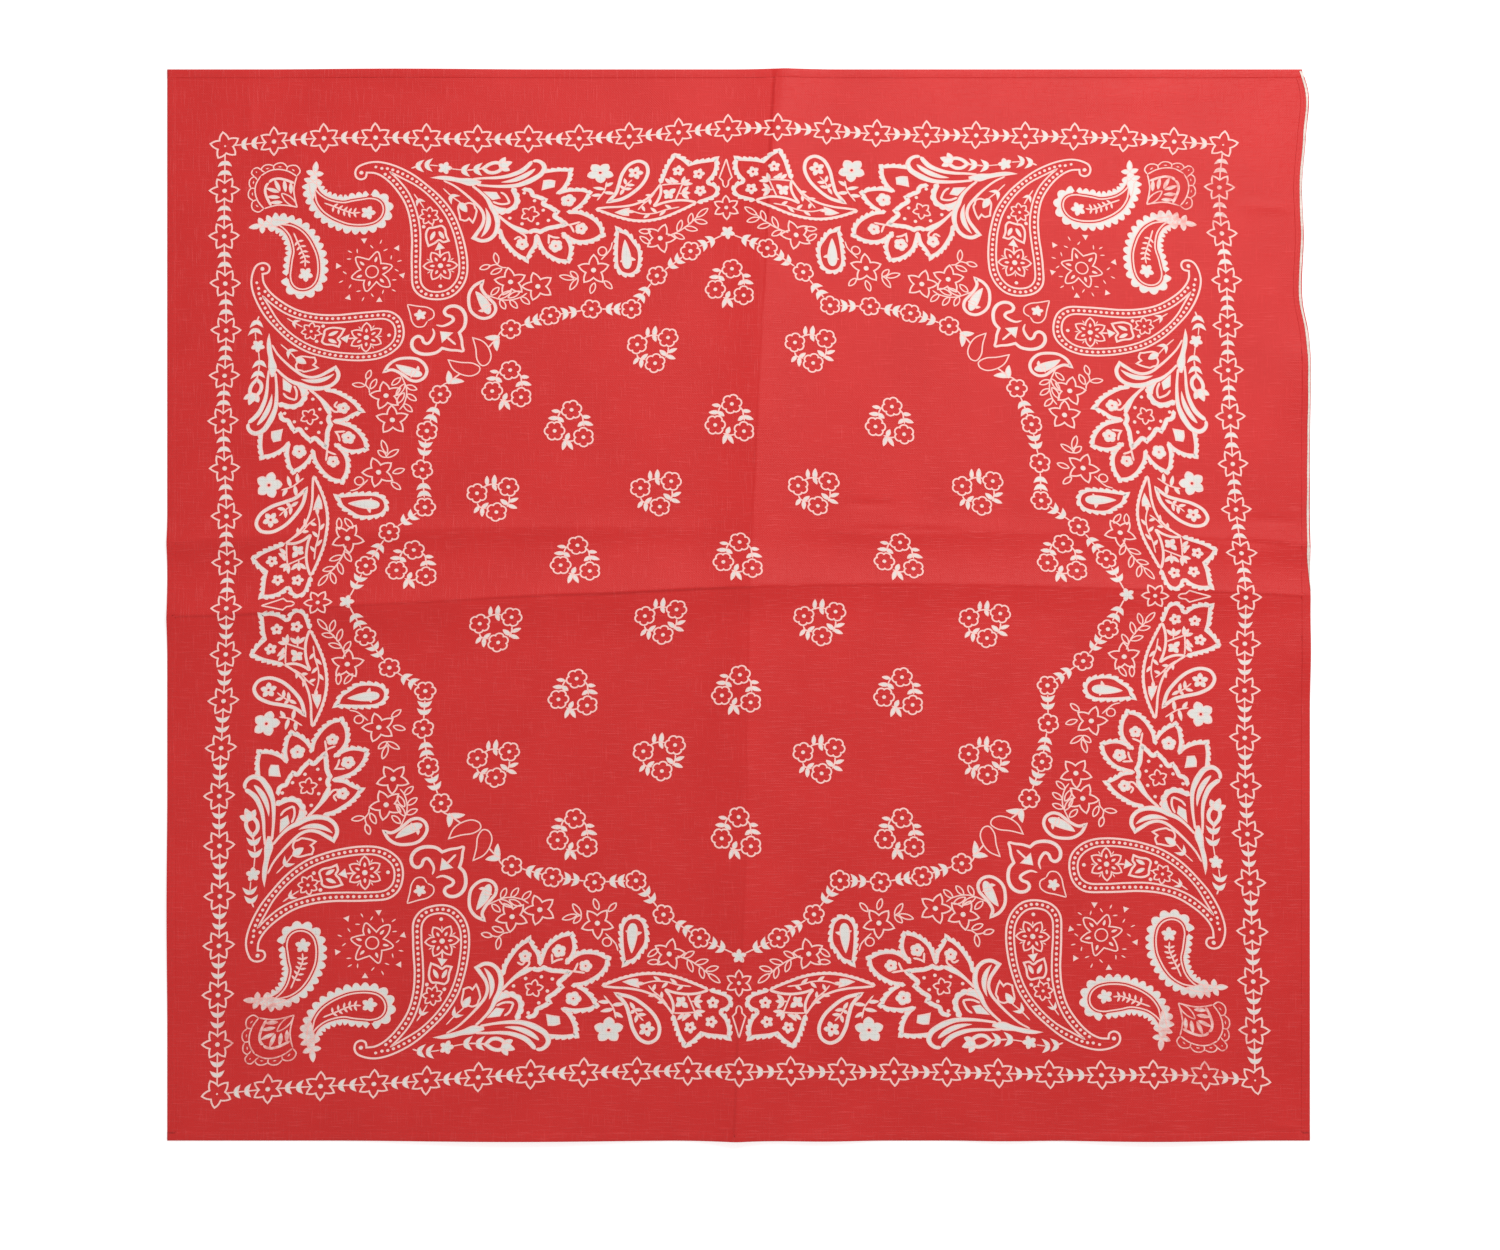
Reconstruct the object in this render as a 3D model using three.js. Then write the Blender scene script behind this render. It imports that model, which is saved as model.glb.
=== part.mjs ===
import * as THREE from "three";

// A printed cotton bandana, opened out flat, face up. Millimetres.
// +X runs to the right edge, +Y to the top edge, +Z away from the surface that it lies on.
// The origin is under the middle of the cloth, on that surface.

// Driving dimensions
const WIDTH = 560;
const LENGTH = 525;
const CLOTH_WALL = 1.0;
const HEM_WIDTH = 3.5;
const HEM_WALL = 1.6;
const SEAM_GAP = 0.3;
const GRID_STEP = 21;
const STEPS_BESIDE_A_FOLD = [3, 7, 12, 19, 29];
const STEPS_BETWEEN_FOLDS = [3, 8, 14, 20, 25];
const CROSS_FOLDS_APART = 28;
const SECOND_FOLD_UP = 36;

const LEFT = -WIDTH / 2;
const RIGHT = WIDTH / 2;
const BOTTOM = -LENGTH / 2;
const TOP = LENGTH / 2;
const HEM_AND_GAP = HEM_WIDTH + SEAM_GAP;

// How far the right edge draws in, from the top corner down
const RIGHT_EDGE = [
  { y: TOP, inset: 3.9 },
  { y: 253, inset: 1.0 },
  { y: 230, inset: 1.9 },
  { y: 206, inset: 3.8 },
  { y: 182, inset: 3.0 },
  { y: 147, inset: 3.3 },
  { y: 135, inset: 1.0 },
  { y: 122, inset: 0.0 },
  { y: BOTTOM, inset: 0.0 },
];

// The upright fold, from the top edge to the bottom edge: its place, its rise and its reach each side
const UPRIGHT_FOLD = [
  { y: TOP, x: 22.8, rise: 2.6, reach: 26 },
  { y: 159, x: 12.0, rise: 3.2, reach: 30 },
  { y: 76, x: 9.1, rise: 3.4, reach: 30 },
  { y: -47, x: 4.2, rise: 3.0, reach: 28 },
  { y: -120, x: 3.2, rise: 3.4, reach: 30 },
  { y: BOTTOM, x: -1.2, rise: 4.0, reach: 32 },
];

// The cross fold, from the left edge to the right edge
const CROSS_FOLD = [
  { x: LEFT, y: -6.4, rise: 2.0, reach: 20 },
  { x: -185, y: -0.5, rise: 3.2, reach: 24 },
  { x: -70, y: 5.9, rise: 3.4, reach: 26 },
  { x: 5, y: 9.4, rise: 2.6, reach: 22 },
  { x: 128, y: 9.2, rise: 1.6, reach: 16 },
  { x: RIGHT, y: 3.9, rise: 1.6, reach: 16 },
];

// The second cross fold, above the first, fainter and broken in the middle
const SECOND_FOLD = [
  { x: LEFT, y: 30.2, rise: 1.8, reach: 14 },
  { x: -141, y: 36.3, rise: 1.6, reach: 13 },
  { x: -34, y: 37.3, rise: 0.5, reach: 10 },
  { x: 5, y: 37.4, rise: 0.0, reach: 10 },
  { x: 82, y: 37.0, rise: 0.9, reach: 10 },
  { x: 170, y: 35.0, rise: 0.4, reach: 10 },
  { x: RIGHT, y: 28.4, rise: 1.4, reach: 13 },
];

// Where an edge stands off the surface in a soft wave: its middle along the edge, rise,
// half length along the edge, and how far it runs in from the edge
const EDGE_WAVES = [
  { edge: "bottom", at: -111, rise: 3.4, half: 92, depth: 96 },
  { edge: "bottom", at: 40, rise: 2.4, half: 34, depth: 60 },
  { edge: "bottom", at: 131, rise: 1.6, half: 30, depth: 48 },
  { edge: "bottom", at: 204, rise: 3.2, half: 62, depth: 84 },
  { edge: "right", at: 112, rise: 2.2, half: 34, depth: 36 },
  { edge: "right", at: -22, rise: 2.4, half: 30, depth: 34 },
  { edge: "top", at: -166, rise: 1.8, half: 70, depth: 44 },
  { edge: "left", at: -150, rise: 1.6, half: 60, depth: 40 },
];

// A hem's section: in from the outer edge, and up from its underside
const HEM_SECTION = [
  { across: 0.7, up: 0 },
  { across: 0, up: 0.5 },
  { across: 0, up: 1.1 },
  { across: 0.6, up: HEM_WALL },
  { across: HEM_WIDTH - 0.8, up: HEM_WALL },
  { across: HEM_WIDTH, up: CLOTH_WALL },
  { across: HEM_WIDTH, up: 0 },
];

const COTTON = { color: 0xc8372f, roughness: 0.92, metalness: 0 };

// Reads one column of a table at a place between its rows, along straight lines from row to row
function read(table, key, place, column) {
  const rising = table[0][key] < table[table.length - 1][key];
  const rows = rising ? table : [...table].reverse();
  const next = rows.findIndex((row) => row[key] >= place);
  if (next === 0) {
    return rows[0][column];
  }
  if (next < 0) {
    return rows[rows.length - 1][column];
  }
  const before = rows[next - 1];
  const after = rows[next];
  const share = (place - before[key]) / (after[key] - before[key]);
  return THREE.MathUtils.lerp(before[column], after[column], share);
}

// A pressed fold stands up as a sharp crest that runs out level on both sides
function crest(distance, rise, reach) {
  const left = Math.max(0, 1 - Math.abs(distance) / reach);
  return rise * left * left;
}

// A soft wave is highest at the edge and dies away along it and in from it
function swell(along, inward, wave) {
  const a = Math.min(1, Math.abs(along - wave.at) / wave.half);
  const b = Math.min(1, Math.max(0, inward) / wave.depth);
  return wave.rise * (0.5 + 0.5 * Math.cos(Math.PI * a)) * (1 - b) * (1 - b);
}

function rightEdge(y) {
  return RIGHT - read(RIGHT_EDGE, "y", y, "inset");
}

// Height of the cloth's underside over the surface
function relief(x, y) {
  const uprightX = read(UPRIGHT_FOLD, "y", y, "x");
  let height = crest(x - uprightX, read(UPRIGHT_FOLD, "y", y, "rise"), read(UPRIGHT_FOLD, "y", y, "reach"));
  for (const fold of [CROSS_FOLD, SECOND_FOLD]) {
    const foldY = read(fold, "x", x, "y");
    height += crest(y - foldY, read(fold, "x", x, "rise"), read(fold, "x", x, "reach"));
  }
  const inward = { bottom: y - BOTTOM, top: TOP - y, left: x - LEFT, right: RIGHT - x };
  for (const wave of EDGE_WAVES) {
    const along = wave.edge === "bottom" || wave.edge === "top" ? x : y;
    height += swell(along, inward[wave.edge], wave);
  }
  return height;
}

// Distances out from a fold to an edge: close together beside the fold, then evenly spaced
function stations(span) {
  const near = STEPS_BESIDE_A_FOLD;
  const start = near[near.length - 1];
  const count = Math.ceil((span - start) / GRID_STEP);
  const far = Array.from({ length: count }, (_, k) => start + ((k + 1) * (span - start)) / count);
  return [...near, ...far].map((distance) => distance / span);
}

// Columns are shares of the way from an edge of the cloth to the upright fold, rows likewise
const COLUMNS = [
  ...stations(WIDTH / 2).reverse().map((share) => ({ side: "left", share })),
  { side: "fold", share: 0 },
  ...stations(WIDTH / 2).map((share) => ({ side: "right", share })),
];
const ROWS = [
  ...stations(LENGTH / 2).reverse().map((share) => ({ zone: "below", share })),
  { zone: "cross", share: 0 },
  ...STEPS_BETWEEN_FOLDS.map((distance) => ({ zone: "between", share: distance / CROSS_FOLDS_APART })),
  { zone: "second", share: 0 },
  ...stations(LENGTH / 2 - SECOND_FOLD_UP).map((share) => ({ zone: "above", share })),
];

function columnX(column, y) {
  const fold = read(UPRIGHT_FOLD, "y", y, "x");
  const left = LEFT + HEM_AND_GAP;
  const right = rightEdge(y) - HEM_AND_GAP;
  const end = column.side === "left" ? left : right;
  return THREE.MathUtils.lerp(fold, end, column.share);
}

function rowY(row, x) {
  const cross = read(CROSS_FOLD, "x", x, "y");
  const second = read(SECOND_FOLD, "x", x, "y");
  if (row.zone === "below") {
    return THREE.MathUtils.lerp(cross, BOTTOM + HEM_AND_GAP, row.share);
  }
  if (row.zone === "above") {
    return THREE.MathUtils.lerp(second, TOP - HEM_AND_GAP, row.share);
  }
  return row.zone === "second" ? second : THREE.MathUtils.lerp(cross, second, row.share);
}

// A grid point lies on its column and its row at once, found by going to and fro between them
function gridPoint(column, row) {
  let x = columnX(column, 0);
  let y = rowY(row, x);
  for (let turn = 0; turn < 3; turn += 1) {
    x = columnX(column, y);
    y = rowY(row, x);
  }
  return { x, y };
}

function closedMesh(name, points, triangles) {
  const geometry = new THREE.BufferGeometry();
  geometry.setAttribute("position", new THREE.Float32BufferAttribute(points, 3));
  geometry.setIndex(triangles);
  geometry.computeVertexNormals();
  const mesh = new THREE.Mesh(geometry, new THREE.MeshStandardMaterial(COTTON));
  mesh.name = name;
  return mesh;
}

// The panel: an upper and a lower skin on the same grid, a cloth's wall apart, closed round the rim
function makePanel() {
  const across = COLUMNS.length;
  const along = ROWS.length;
  const points = [];
  for (const wall of [0, CLOTH_WALL]) {
    for (const row of ROWS) {
      for (const column of COLUMNS) {
        const { x, y } = gridPoint(column, row);
        points.push(x, y, relief(x, y) + wall);
      }
    }
  }
  const upper = across * along;
  const triangles = [];
  for (let j = 0; j < along - 1; j += 1) {
    for (let i = 0; i < across - 1; i += 1) {
      const a = j * across + i;
      const b = a + 1;
      const c = a + across;
      const d = c + 1;
      triangles.push(a, d, b, a, c, d);
      triangles.push(a + upper, b + upper, d + upper, a + upper, d + upper, c + upper);
    }
  }
  const rim = [];
  for (let i = 0; i < across - 1; i += 1) {
    rim.push(i);
  }
  for (let j = 0; j < along - 1; j += 1) {
    rim.push(j * across + across - 1);
  }
  for (let i = across - 1; i > 0; i -= 1) {
    rim.push((along - 1) * across + i);
  }
  for (let j = along - 1; j > 0; j -= 1) {
    rim.push(j * across);
  }
  rim.forEach((from, k) => {
    const to = rim[(k + 1) % rim.length];
    triangles.push(from, to, to + upper, from, to + upper, from + upper);
  });
  return closedMesh("panel", points, triangles);
}

// A hem: its section carried along an edge, with "across" measured inward.
// The path runs round the cloth to the left, so inward is on its left hand.
function makeHem(name, path, inward) {
  const count = HEM_SECTION.length;
  const points = [];
  for (const { x, y } of path) {
    for (const { across, up } of HEM_SECTION) {
      const px = x + inward.x * across;
      const py = y + inward.y * across;
      points.push(px, py, relief(x, y) + up);
    }
  }
  const triangles = [];
  for (let j = 0; j < path.length - 1; j += 1) {
    for (let i = 0; i < count; i += 1) {
      const a = j * count + i;
      const b = j * count + ((i + 1) % count);
      triangles.push(a, b + count, b, a, a + count, b + count);
    }
  }
  const last = (path.length - 1) * count;
  for (let i = 1; i < count - 1; i += 1) {
    triangles.push(0, i, i + 1);
    triangles.push(last, last + i + 1, last + i);
  }
  return closedMesh(name, points, triangles);
}

// The top and bottom hems run the whole width, the side hems stand between them
function hemPaths() {
  const bottomRow = ROWS[0];
  const topRow = ROWS[ROWS.length - 1];
  const inner = COLUMNS.slice(1, -1);
  const rows = ROWS.slice(1, -1);
  const bottom = inner.map((column) => ({ x: gridPoint(column, bottomRow).x, y: BOTTOM }));
  const top = inner.map((column) => ({ x: gridPoint(column, topRow).x, y: TOP }));
  const left = rows.map((row) => ({ x: LEFT, y: rowY(row, LEFT) }));
  const right = rows.map((row) => rowY(row, RIGHT)).map((y) => ({ x: rightEdge(y), y }));
  const low = BOTTOM + HEM_AND_GAP;
  const high = TOP - HEM_AND_GAP;
  return {
    bottom: [{ x: LEFT, y: BOTTOM }, ...bottom, { x: RIGHT, y: BOTTOM }],
    right: [{ x: RIGHT, y: low }, ...right, { x: rightEdge(high), y: high }],
    top: [{ x: LEFT, y: TOP }, ...top, { x: rightEdge(TOP), y: TOP }].reverse(),
    left: [{ x: LEFT, y: low }, ...left, { x: LEFT, y: high }].reverse(),
  };
}

function makeBandana() {
  const bandana = new THREE.Group();
  bandana.name = "bandana";
  const paths = hemPaths();
  bandana.add(makePanel());
  bandana.add(makeHem("hem_bottom", paths.bottom, { x: 0, y: 1 }));
  bandana.add(makeHem("hem_right", paths.right, { x: -1, y: 0 }));
  bandana.add(makeHem("hem_top", paths.top, { x: 0, y: -1 }));
  bandana.add(makeHem("hem_left", paths.left, { x: 1, y: 0 }));
  return bandana;
}

export default makeBandana();
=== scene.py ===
"""A square cotton bandana laid flat: a thin shell of cloth with pressed folds, four turned hems with
their stitches, and the paisley print as films of ink that follow the cloth. Lengths are millimetres."""

import itertools
import math

import bmesh
import bpy
import numpy as np
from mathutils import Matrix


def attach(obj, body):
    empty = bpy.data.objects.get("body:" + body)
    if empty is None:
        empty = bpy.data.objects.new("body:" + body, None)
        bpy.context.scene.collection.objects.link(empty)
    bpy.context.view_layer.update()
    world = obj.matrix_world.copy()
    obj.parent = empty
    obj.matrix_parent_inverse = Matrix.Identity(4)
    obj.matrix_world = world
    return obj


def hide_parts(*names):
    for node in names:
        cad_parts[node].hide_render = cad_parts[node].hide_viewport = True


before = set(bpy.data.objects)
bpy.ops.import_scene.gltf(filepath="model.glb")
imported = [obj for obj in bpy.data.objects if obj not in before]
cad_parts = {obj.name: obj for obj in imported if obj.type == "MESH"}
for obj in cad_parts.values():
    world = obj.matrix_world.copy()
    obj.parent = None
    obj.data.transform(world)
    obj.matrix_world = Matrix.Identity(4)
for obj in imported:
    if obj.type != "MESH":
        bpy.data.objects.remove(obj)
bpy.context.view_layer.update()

MM = 0.001

# The cloth's sizes in millimetres, as in the solid model
HALF_WIDTH = 280.0
HALF_LENGTH = 262.5
HEM_WIDTH = 3.5
CLOTH_UNDERSIDE = 0.25
CLOTH_TOP = 0.9
PANEL_TUCK = 0.7
CREST_ROUND = 1.5

# (y, how far the right edge lies inside the straight edge)
RIGHT_EDGE = [(-262.5, 0.0), (0.0, 0.0), (122.0, 0.0), (135.0, 1.0), (147.0, 3.3), (182.0, 3.0),
              (206.0, 3.8), (230.0, 1.9), (253.0, 1.0), (262.5, 3.9)]

# (y, x, rise, reach) of the fold that runs up the middle
UPRIGHT_FOLD = [(-262.5, -1.2, 4.0, 32.0), (-120.0, 3.2, 3.4, 30.0), (-47.0, 4.2, 3.0, 28.0),
                (76.0, 9.1, 3.4, 30.0), (159.0, 12.0, 3.2, 30.0), (262.5, 22.8, 2.6, 26.0)]

# (x, y, rise, reach) of the fold that runs across, and of the slack one above it
CROSS_FOLD = [(-280.0, -6.4, 2.0, 20.0), (-185.0, -0.5, 3.2, 24.0), (-70.0, 5.9, 3.4, 26.0),
              (5.0, 9.4, 2.6, 22.0), (128.0, 9.2, 1.6, 16.0), (280.0, 3.9, 1.6, 16.0)]
SECOND_FOLD = [(-280.0, 30.2, 1.8, 14.0), (-141.0, 36.3, 1.6, 13.0), (-34.0, 37.3, 0.5, 10.0),
               (5.0, 37.4, 0.0, 10.0), (82.0, 37.0, 0.9, 10.0), (170.0, 35.0, 0.4, 10.0),
               (280.0, 28.4, 1.4, 13.0)]

# (y, x, drop) of the sharp line pressed in beside the upright fold, and (x, y, drop) of the other two
UPRIGHT_LINE = [(-262.5, -2.6, 0.80), (-247.0, -1.7, 0.80), (-218.0, -0.7, 0.75), (-144.0, 2.7, 0.40),
                (-90.0, 4.2, 0.32), (-61.0, 3.9, 0.34), (-22.0, 4.7, 0.36), (7.0, 5.0, 0.16),
                (71.0, 8.1, 0.40), (125.0, 10.8, 0.34), (174.0, 13.5, 0.60), (245.0, 16.6, 0.95),
                (262.5, 17.9, 0.90)]
CROSS_LINE = [(-280.0, -5.6, 0.80), (-259.0, -5.4, 0.88), (-173.0, 0.5, 0.62), (-151.0, 1.5, 0.55),
              (-87.5, 4.9, 0.95), (-68.0, 5.4, 1.00), (-19.0, 7.8, 1.00), (25.0, 9.2, 0.26),
              (59.5, 9.8, 0.55), (94.0, 10.0, 0.32), (138.0, 9.1, 0.40), (167.0, 8.3, 0.34),
              (260.0, 5.1, 0.60), (280.0, 3.9, 0.50)]
SECOND_LINE = [(-280.0, 30.4, 0.36), (-190.0, 35.4, 0.30), (-141.0, 36.9, 0.40), (-60.0, 37.6, 0.16),
               (5.0, 37.4, 0.0), (170.0, 35.0, 0.0), (245.0, 31.6, 0.34), (280.0, 29.0, 0.40)]
# How wide the drop is at a pressed line, and how far off it the cloth is level again
LINE_WALL = 0.9
LINE_FADE = 4.5

# (edge, place along it, rise, half length, how far in it fades) of the soft waves at the edges
EDGE_WAVES = [("bottom", -111.0, 3.4, 92.0, 96.0), ("bottom", 40.0, 2.4, 34.0, 60.0),
              ("bottom", 131.0, 1.6, 30.0, 48.0), ("bottom", 204.0, 3.2, 62.0, 84.0),
              ("right", 112.0, 2.2, 34.0, 36.0), ("right", -22.0, 2.4, 30.0, 34.0),
              ("top", -166.0, 1.8, 70.0, 44.0), ("left", -150.0, 1.6, 60.0, 40.0)]

# (x, y, x, y, height, half width) of the short creases: a ridge is above nought, a trough below
CREASES = [(49.0, 49.5, 79.0, 49.3, -0.55, 1.6), (247.0, 42.2, 276.0, 40.2, -0.6, 1.7),
           (243.0, 196.0, 275.0, 193.5, 0.5, 2.2), (64.0, 210.5, 130.0, 213.5, 0.45, 2.4),
           (258.0, -255.5, 279.0, -256.0, 0.5, 2.0), (-239.0, 220.0, -239.0, 259.0, 0.4, 2.6),
           (129.5, -218.0, 129.0, -262.0, 0.6, 3.0), (-215.0, 247.0, -117.0, 236.0, 0.45, 5.0),
           (-190.0, 254.0, -120.0, 249.0, -0.35, 4.0), (266.0, -17.0, 275.0, -17.5, -0.5, 2.5),
           (268.0, 122.0, 279.0, 122.5, 0.6, 2.8), (47.0, 37.6, 118.0, 36.2, -0.5, 1.7),
           (232.0, 32.6, 278.0, 28.2, -0.5, 1.8), (-150.0, -236.0, -60.0, -232.0, 0.3, 5.0),
           (176.0, -236.0, 214.0, -262.0, 0.35, 5.0), (-272.0, -30.0, -246.0, -120.0, 0.3, 6.0),
           (150.0, 246.0, 240.0, 252.0, 0.35, 4.5), (-276.0, 100.0, -262.0, 170.0, 0.3, 5.0)]

# (height, wave, bend, slow wave, wave, bend, slow wave) of the faint ripples, along x and then along y
RIPPLES = [(0.10, 17.0, 1.7, 41.0, 23.0, 1.3, 37.0), (0.025, 5.3, 2.2, 15.0, 7.1, 1.9, 13.0)]

# The print's plane: its middle is nought, and the line of stars lies at plus and minus this
BORDER = 237.0
STARS_A_SIDE = 20
STAR_PITCH = 2 * BORDER / STARS_A_SIDE

# (star, x, y) where the border's stars lie on the cloth, counted from the left or from the bottom
TOP_LINE = [(0, -251.7, 224.9), (2, -204.1, 229.3), (3, -178.8, 229.6), (5, -127.9, 228.2),
            (8, -53.6, 229.3), (10, -5.1, 233.2), (11, 19.4, 233.2), (13, 68.0, 230.8),
            (16, 140.9, 229.6), (18, 189.9, 228.2), (20, 237.5, 225.4)]
BOTTOM_LINE = [(0, -255.6, -239.6), (1, -230.9, -237.1), (3, -179.7, -234.0), (5, -127.8, -230.9),
               (8, -50.5, -228.3), (10, 0.3, -228.3), (13, 76.6, -228.7), (16, 153.1, -229.3),
               (19, 228.6, -230.5), (20, 253.1, -232.9)]
LEFT_LINE = [(0, -255.6, -239.6), (2, -255.1, -191.1), (4, -254.1, -142.7), (6, -254.4, -93.6),
             (8, -252.4, -47.0), (10, -250.6, -1.3), (12, -250.9, 43.9), (14, -252.5, 90.3),
             (16, -251.1, 135.5), (18, -252.2, 181.2), (20, -251.7, 224.9)]
RIGHT_LINE = [(0, 253.1, -232.9), (3, 251.6, -160.2), (6, 248.4, -88.6), (9, 248.1, -18.8),
              (10, 248.4, 3.9), (12, 243.4, 47.6), (15, 239.6, 115.7), (17, 238.8, 159.6),
              (19, 235.6, 204.6), (20, 237.5, 225.4)]

# (x, y, right, up, reach): how far the print lies off the blend of those lines round some places
PULLS = [(-165, 0, 0.9, -1.6, 34), (-143, 75, 0.6, -1.2, 34), (-80, 143, 0.3, 1.5, 34),
         (0, 165, -0.1, 1.0, 34), (80, 143, -0.1, 0.6, 34), (143, 75, -0.2, 0.7, 34),
         (165, 0, -0.8, -1.4, 34), (143, -75, -0.6, -1.0, 34), (80, -143, -1.1, -0.6, 34),
         (0, -165, 0.1, -0.7, 34), (-80, -143, 0.2, 0.2, 34), (-143, -75, 1.4, -1.0, 34),
         (-188, 150, 0.2, -4.2, 30), (-178, 210, 1.6, -1.0, 30), (190, 145, 0.9, -2.3, 32),
         (178, 208, -1.6, 0.5, 26), (-160, -200, 2.3, -1.5, 30), (160, -195, -1.9, -2.3, 32),
         (-62, 196, 1.6, 3.2, 17), (62, 200, -1.5, 0.4, 18), (-50, -205, 2.2, -1.3, 18),
         (52, -205, -2.1, -1.3, 18), (200, 66, 1.2, -3.0, 26), (200, 0, 0.0, -1.2, 18),
         (-205, 30, 0.0, -1.2, 24)]

# The two usual widths of an ink line, and the step between the points of a curve
THIN = 0.78
FINE = 0.65
CURVE_STEP = 0.8

# How high the ink lies on the cloth, with a hair's step between shapes so that none share a place
INK_LIFT = 0.12
LAYER_STEP = 0.0008
LAYERS = 60
INK_WELD = 0.00002
FOLDED_AREA = 0.000001


def along(rows, at):
    """The rows' later columns at places given in the first: cubic pieces whose slopes come from the
    neighbouring rows, so that the line through a short table is smooth."""
    table = np.array(rows, float)
    place, value = table[:, 0], table[:, 1:]
    slope = np.gradient(value, place, axis=0)
    at = np.clip(np.asarray(at, float), place[0], place[-1])
    i = np.clip(np.searchsorted(place, at) - 1, 0, len(place) - 2)
    gap = (place[i + 1] - place[i])[..., None]
    t = (at - place[i])[..., None] / gap
    start = (1 + 2 * t) * (1 - t) ** 2 * value[i] + t * (1 - t) ** 2 * gap * slope[i]
    end = t ** 2 * (3 - 2 * t) * value[i + 1] + t ** 2 * (t - 1) * gap * slope[i + 1]
    return start + end


def crest(distance, rise, reach):
    """A fold's section: its rise times the square of what is left of its reach, rounded at the top."""
    rounded = np.sqrt(distance ** 2 + CREST_ROUND ** 2) - CREST_ROUND
    return rise * np.clip(1 - rounded / reach, 0, None) ** 2


def fold(rows, place, across):
    """A fold that follows a table of (place, middle, rise, reach)."""
    middle, rise, reach = np.moveaxis(along(rows, place), -1, 0)
    return crest(across - middle, rise, reach)


def pressed(rows, place, across):
    """A sharp line pressed along a fold: a slow rise to it, a short steep drop, and a slow rise again."""
    middle, drop = np.moveaxis(along(rows, place), -1, 0)
    past = (middle - across) / LINE_WALL
    wall = np.clip(past, -1, 1)
    return -drop / 4 * wall * (3 - wall ** 2) * np.exp(-np.abs(past) * LINE_WALL / LINE_FADE)


def swell(place, inward, middle, rise, half, depth):
    """A soft wave at an edge: half a cosine along the edge, fading as a square towards the inside."""
    share = np.minimum(1, np.abs(place - middle) / half)
    fade = np.clip(1 - inward / depth, 0, None) ** 2
    return rise * (0.5 + 0.5 * np.cos(np.pi * share)) * fade


def right_inset(y):
    """How far the right edge lies inside the straight one at this height."""
    return np.clip(along(RIGHT_EDGE, y)[..., 0], 0, None)


def crease(x, y, row):
    """A short crease between two points: a bell across, and a rounded fade at both ends."""
    ax, ay, bx, by, height, half = row
    length = math.hypot(bx - ax, by - ay)
    ux, uy = (bx - ax) / length, (by - ay) / length
    share = ((x - ax) * ux + (y - ay) * uy) / length
    off = (y - ay) * ux - (x - ax) * uy
    fade = np.clip(1 - (2 * share - 1) ** 2, 0, None) ** 1.5
    return height * fade * np.exp(-(off / half) ** 2)


def relief(x, y):
    """The height of the cloth's underside over the table: the three folds and the edge waves."""
    height = fold(UPRIGHT_FOLD, y, x) + fold(CROSS_FOLD, x, y) + fold(SECOND_FOLD, x, y)
    inward = {"bottom": y + HALF_LENGTH, "top": HALF_LENGTH - y,
              "left": x + HALF_WIDTH, "right": HALF_WIDTH - x}
    for edge, middle, rise, half, depth in EDGE_WAVES:
        place = x if edge in ("bottom", "top") else y
        height = height + swell(place, inward[edge], middle, rise, half, depth)
    return height


def ripple(x, y, row):
    """A faint wandering wave: a sine along x times one along y, each shifted by a slower sine of the
    other way."""
    height, wave_x, bend_x, slow_y, wave_y, bend_y, slow_x = row
    along_x = np.sin(x / wave_x + bend_x * np.sin(y / slow_y))
    along_y = np.sin(y / wave_y + bend_y * np.sin(x / slow_x))
    return height * (along_x * along_y)


def rumple(x, y):
    """The small unevenness on top of the folds: the short creases, the pressed lines and the ripples."""
    height = sum(crease(x, y, row) for row in CREASES)
    height = height + pressed(UPRIGHT_LINE, y, x) + pressed(CROSS_LINE, x, y)
    height = height + pressed(SECOND_LINE, x, y)
    for row in RIPPLES:
        height = height + ripple(x, y, row)
    return height


def cloth_top(x, y):
    """The height of the cloth's upper face, which the print lies on."""
    return relief(x, y) + CLOTH_TOP + rumple(x, y)


def grid_faces(rows, columns, closed_rows=False, closed_columns=False):
    """Corner numbers of the four-sided faces between neighbouring rows and columns of a grid."""
    i = np.arange(rows if closed_rows else rows - 1)[:, None]
    j = np.arange(columns if closed_columns else columns - 1)[None, :]
    below, beside = (i + 1) % rows, (j + 1) % columns
    corners = [i * columns + j, i * columns + beside, below * columns + beside, below * columns + j]
    return np.stack([np.broadcast_to(c, (i.size, j.size)) for c in corners], -1).reshape(-1, 4)


def make_piece(name, points, faces, material, values=None, weld=0.0):
    """One mesh from arrays of points in millimetres and of faces, with named values at its points."""
    mesh = bpy.data.meshes.new(name)
    mesh.from_pydata((points * MM).tolist(), [], faces.tolist())
    for label, numbers in (values or {}).items():
        mesh.attributes.new(label, "FLOAT", "POINT").data.foreach_set("value", numbers.astype(np.float32))
    if weld:
        work = bmesh.new()
        work.from_mesh(mesh)
        bmesh.ops.remove_doubles(work, verts=work.verts, dist=weld * MM)
        work.to_mesh(mesh)
        work.free()
    mesh.polygons.foreach_set("use_smooth", np.ones(len(mesh.polygons), bool))
    mesh.materials.append(material)
    mesh.update()
    piece = bpy.data.objects.new(name, mesh)
    bpy.context.scene.collection.objects.link(piece)
    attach(piece, "root")
    return piece


# Materials

def new_group(name, inputs, outputs):
    """An empty shader node group with named sockets, and its ends."""
    group = bpy.data.node_groups.new(name, "ShaderNodeTree")
    for label, kind, value in inputs:
        socket = group.interface.new_socket(label, in_out="INPUT", socket_type=kind)
        if value is not None:
            socket.default_value = value
    for label, kind in outputs:
        group.interface.new_socket(label, in_out="OUTPUT", socket_type=kind)
    return group, group.nodes.new("NodeGroupInput"), group.nodes.new("NodeGroupOutput")


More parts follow.
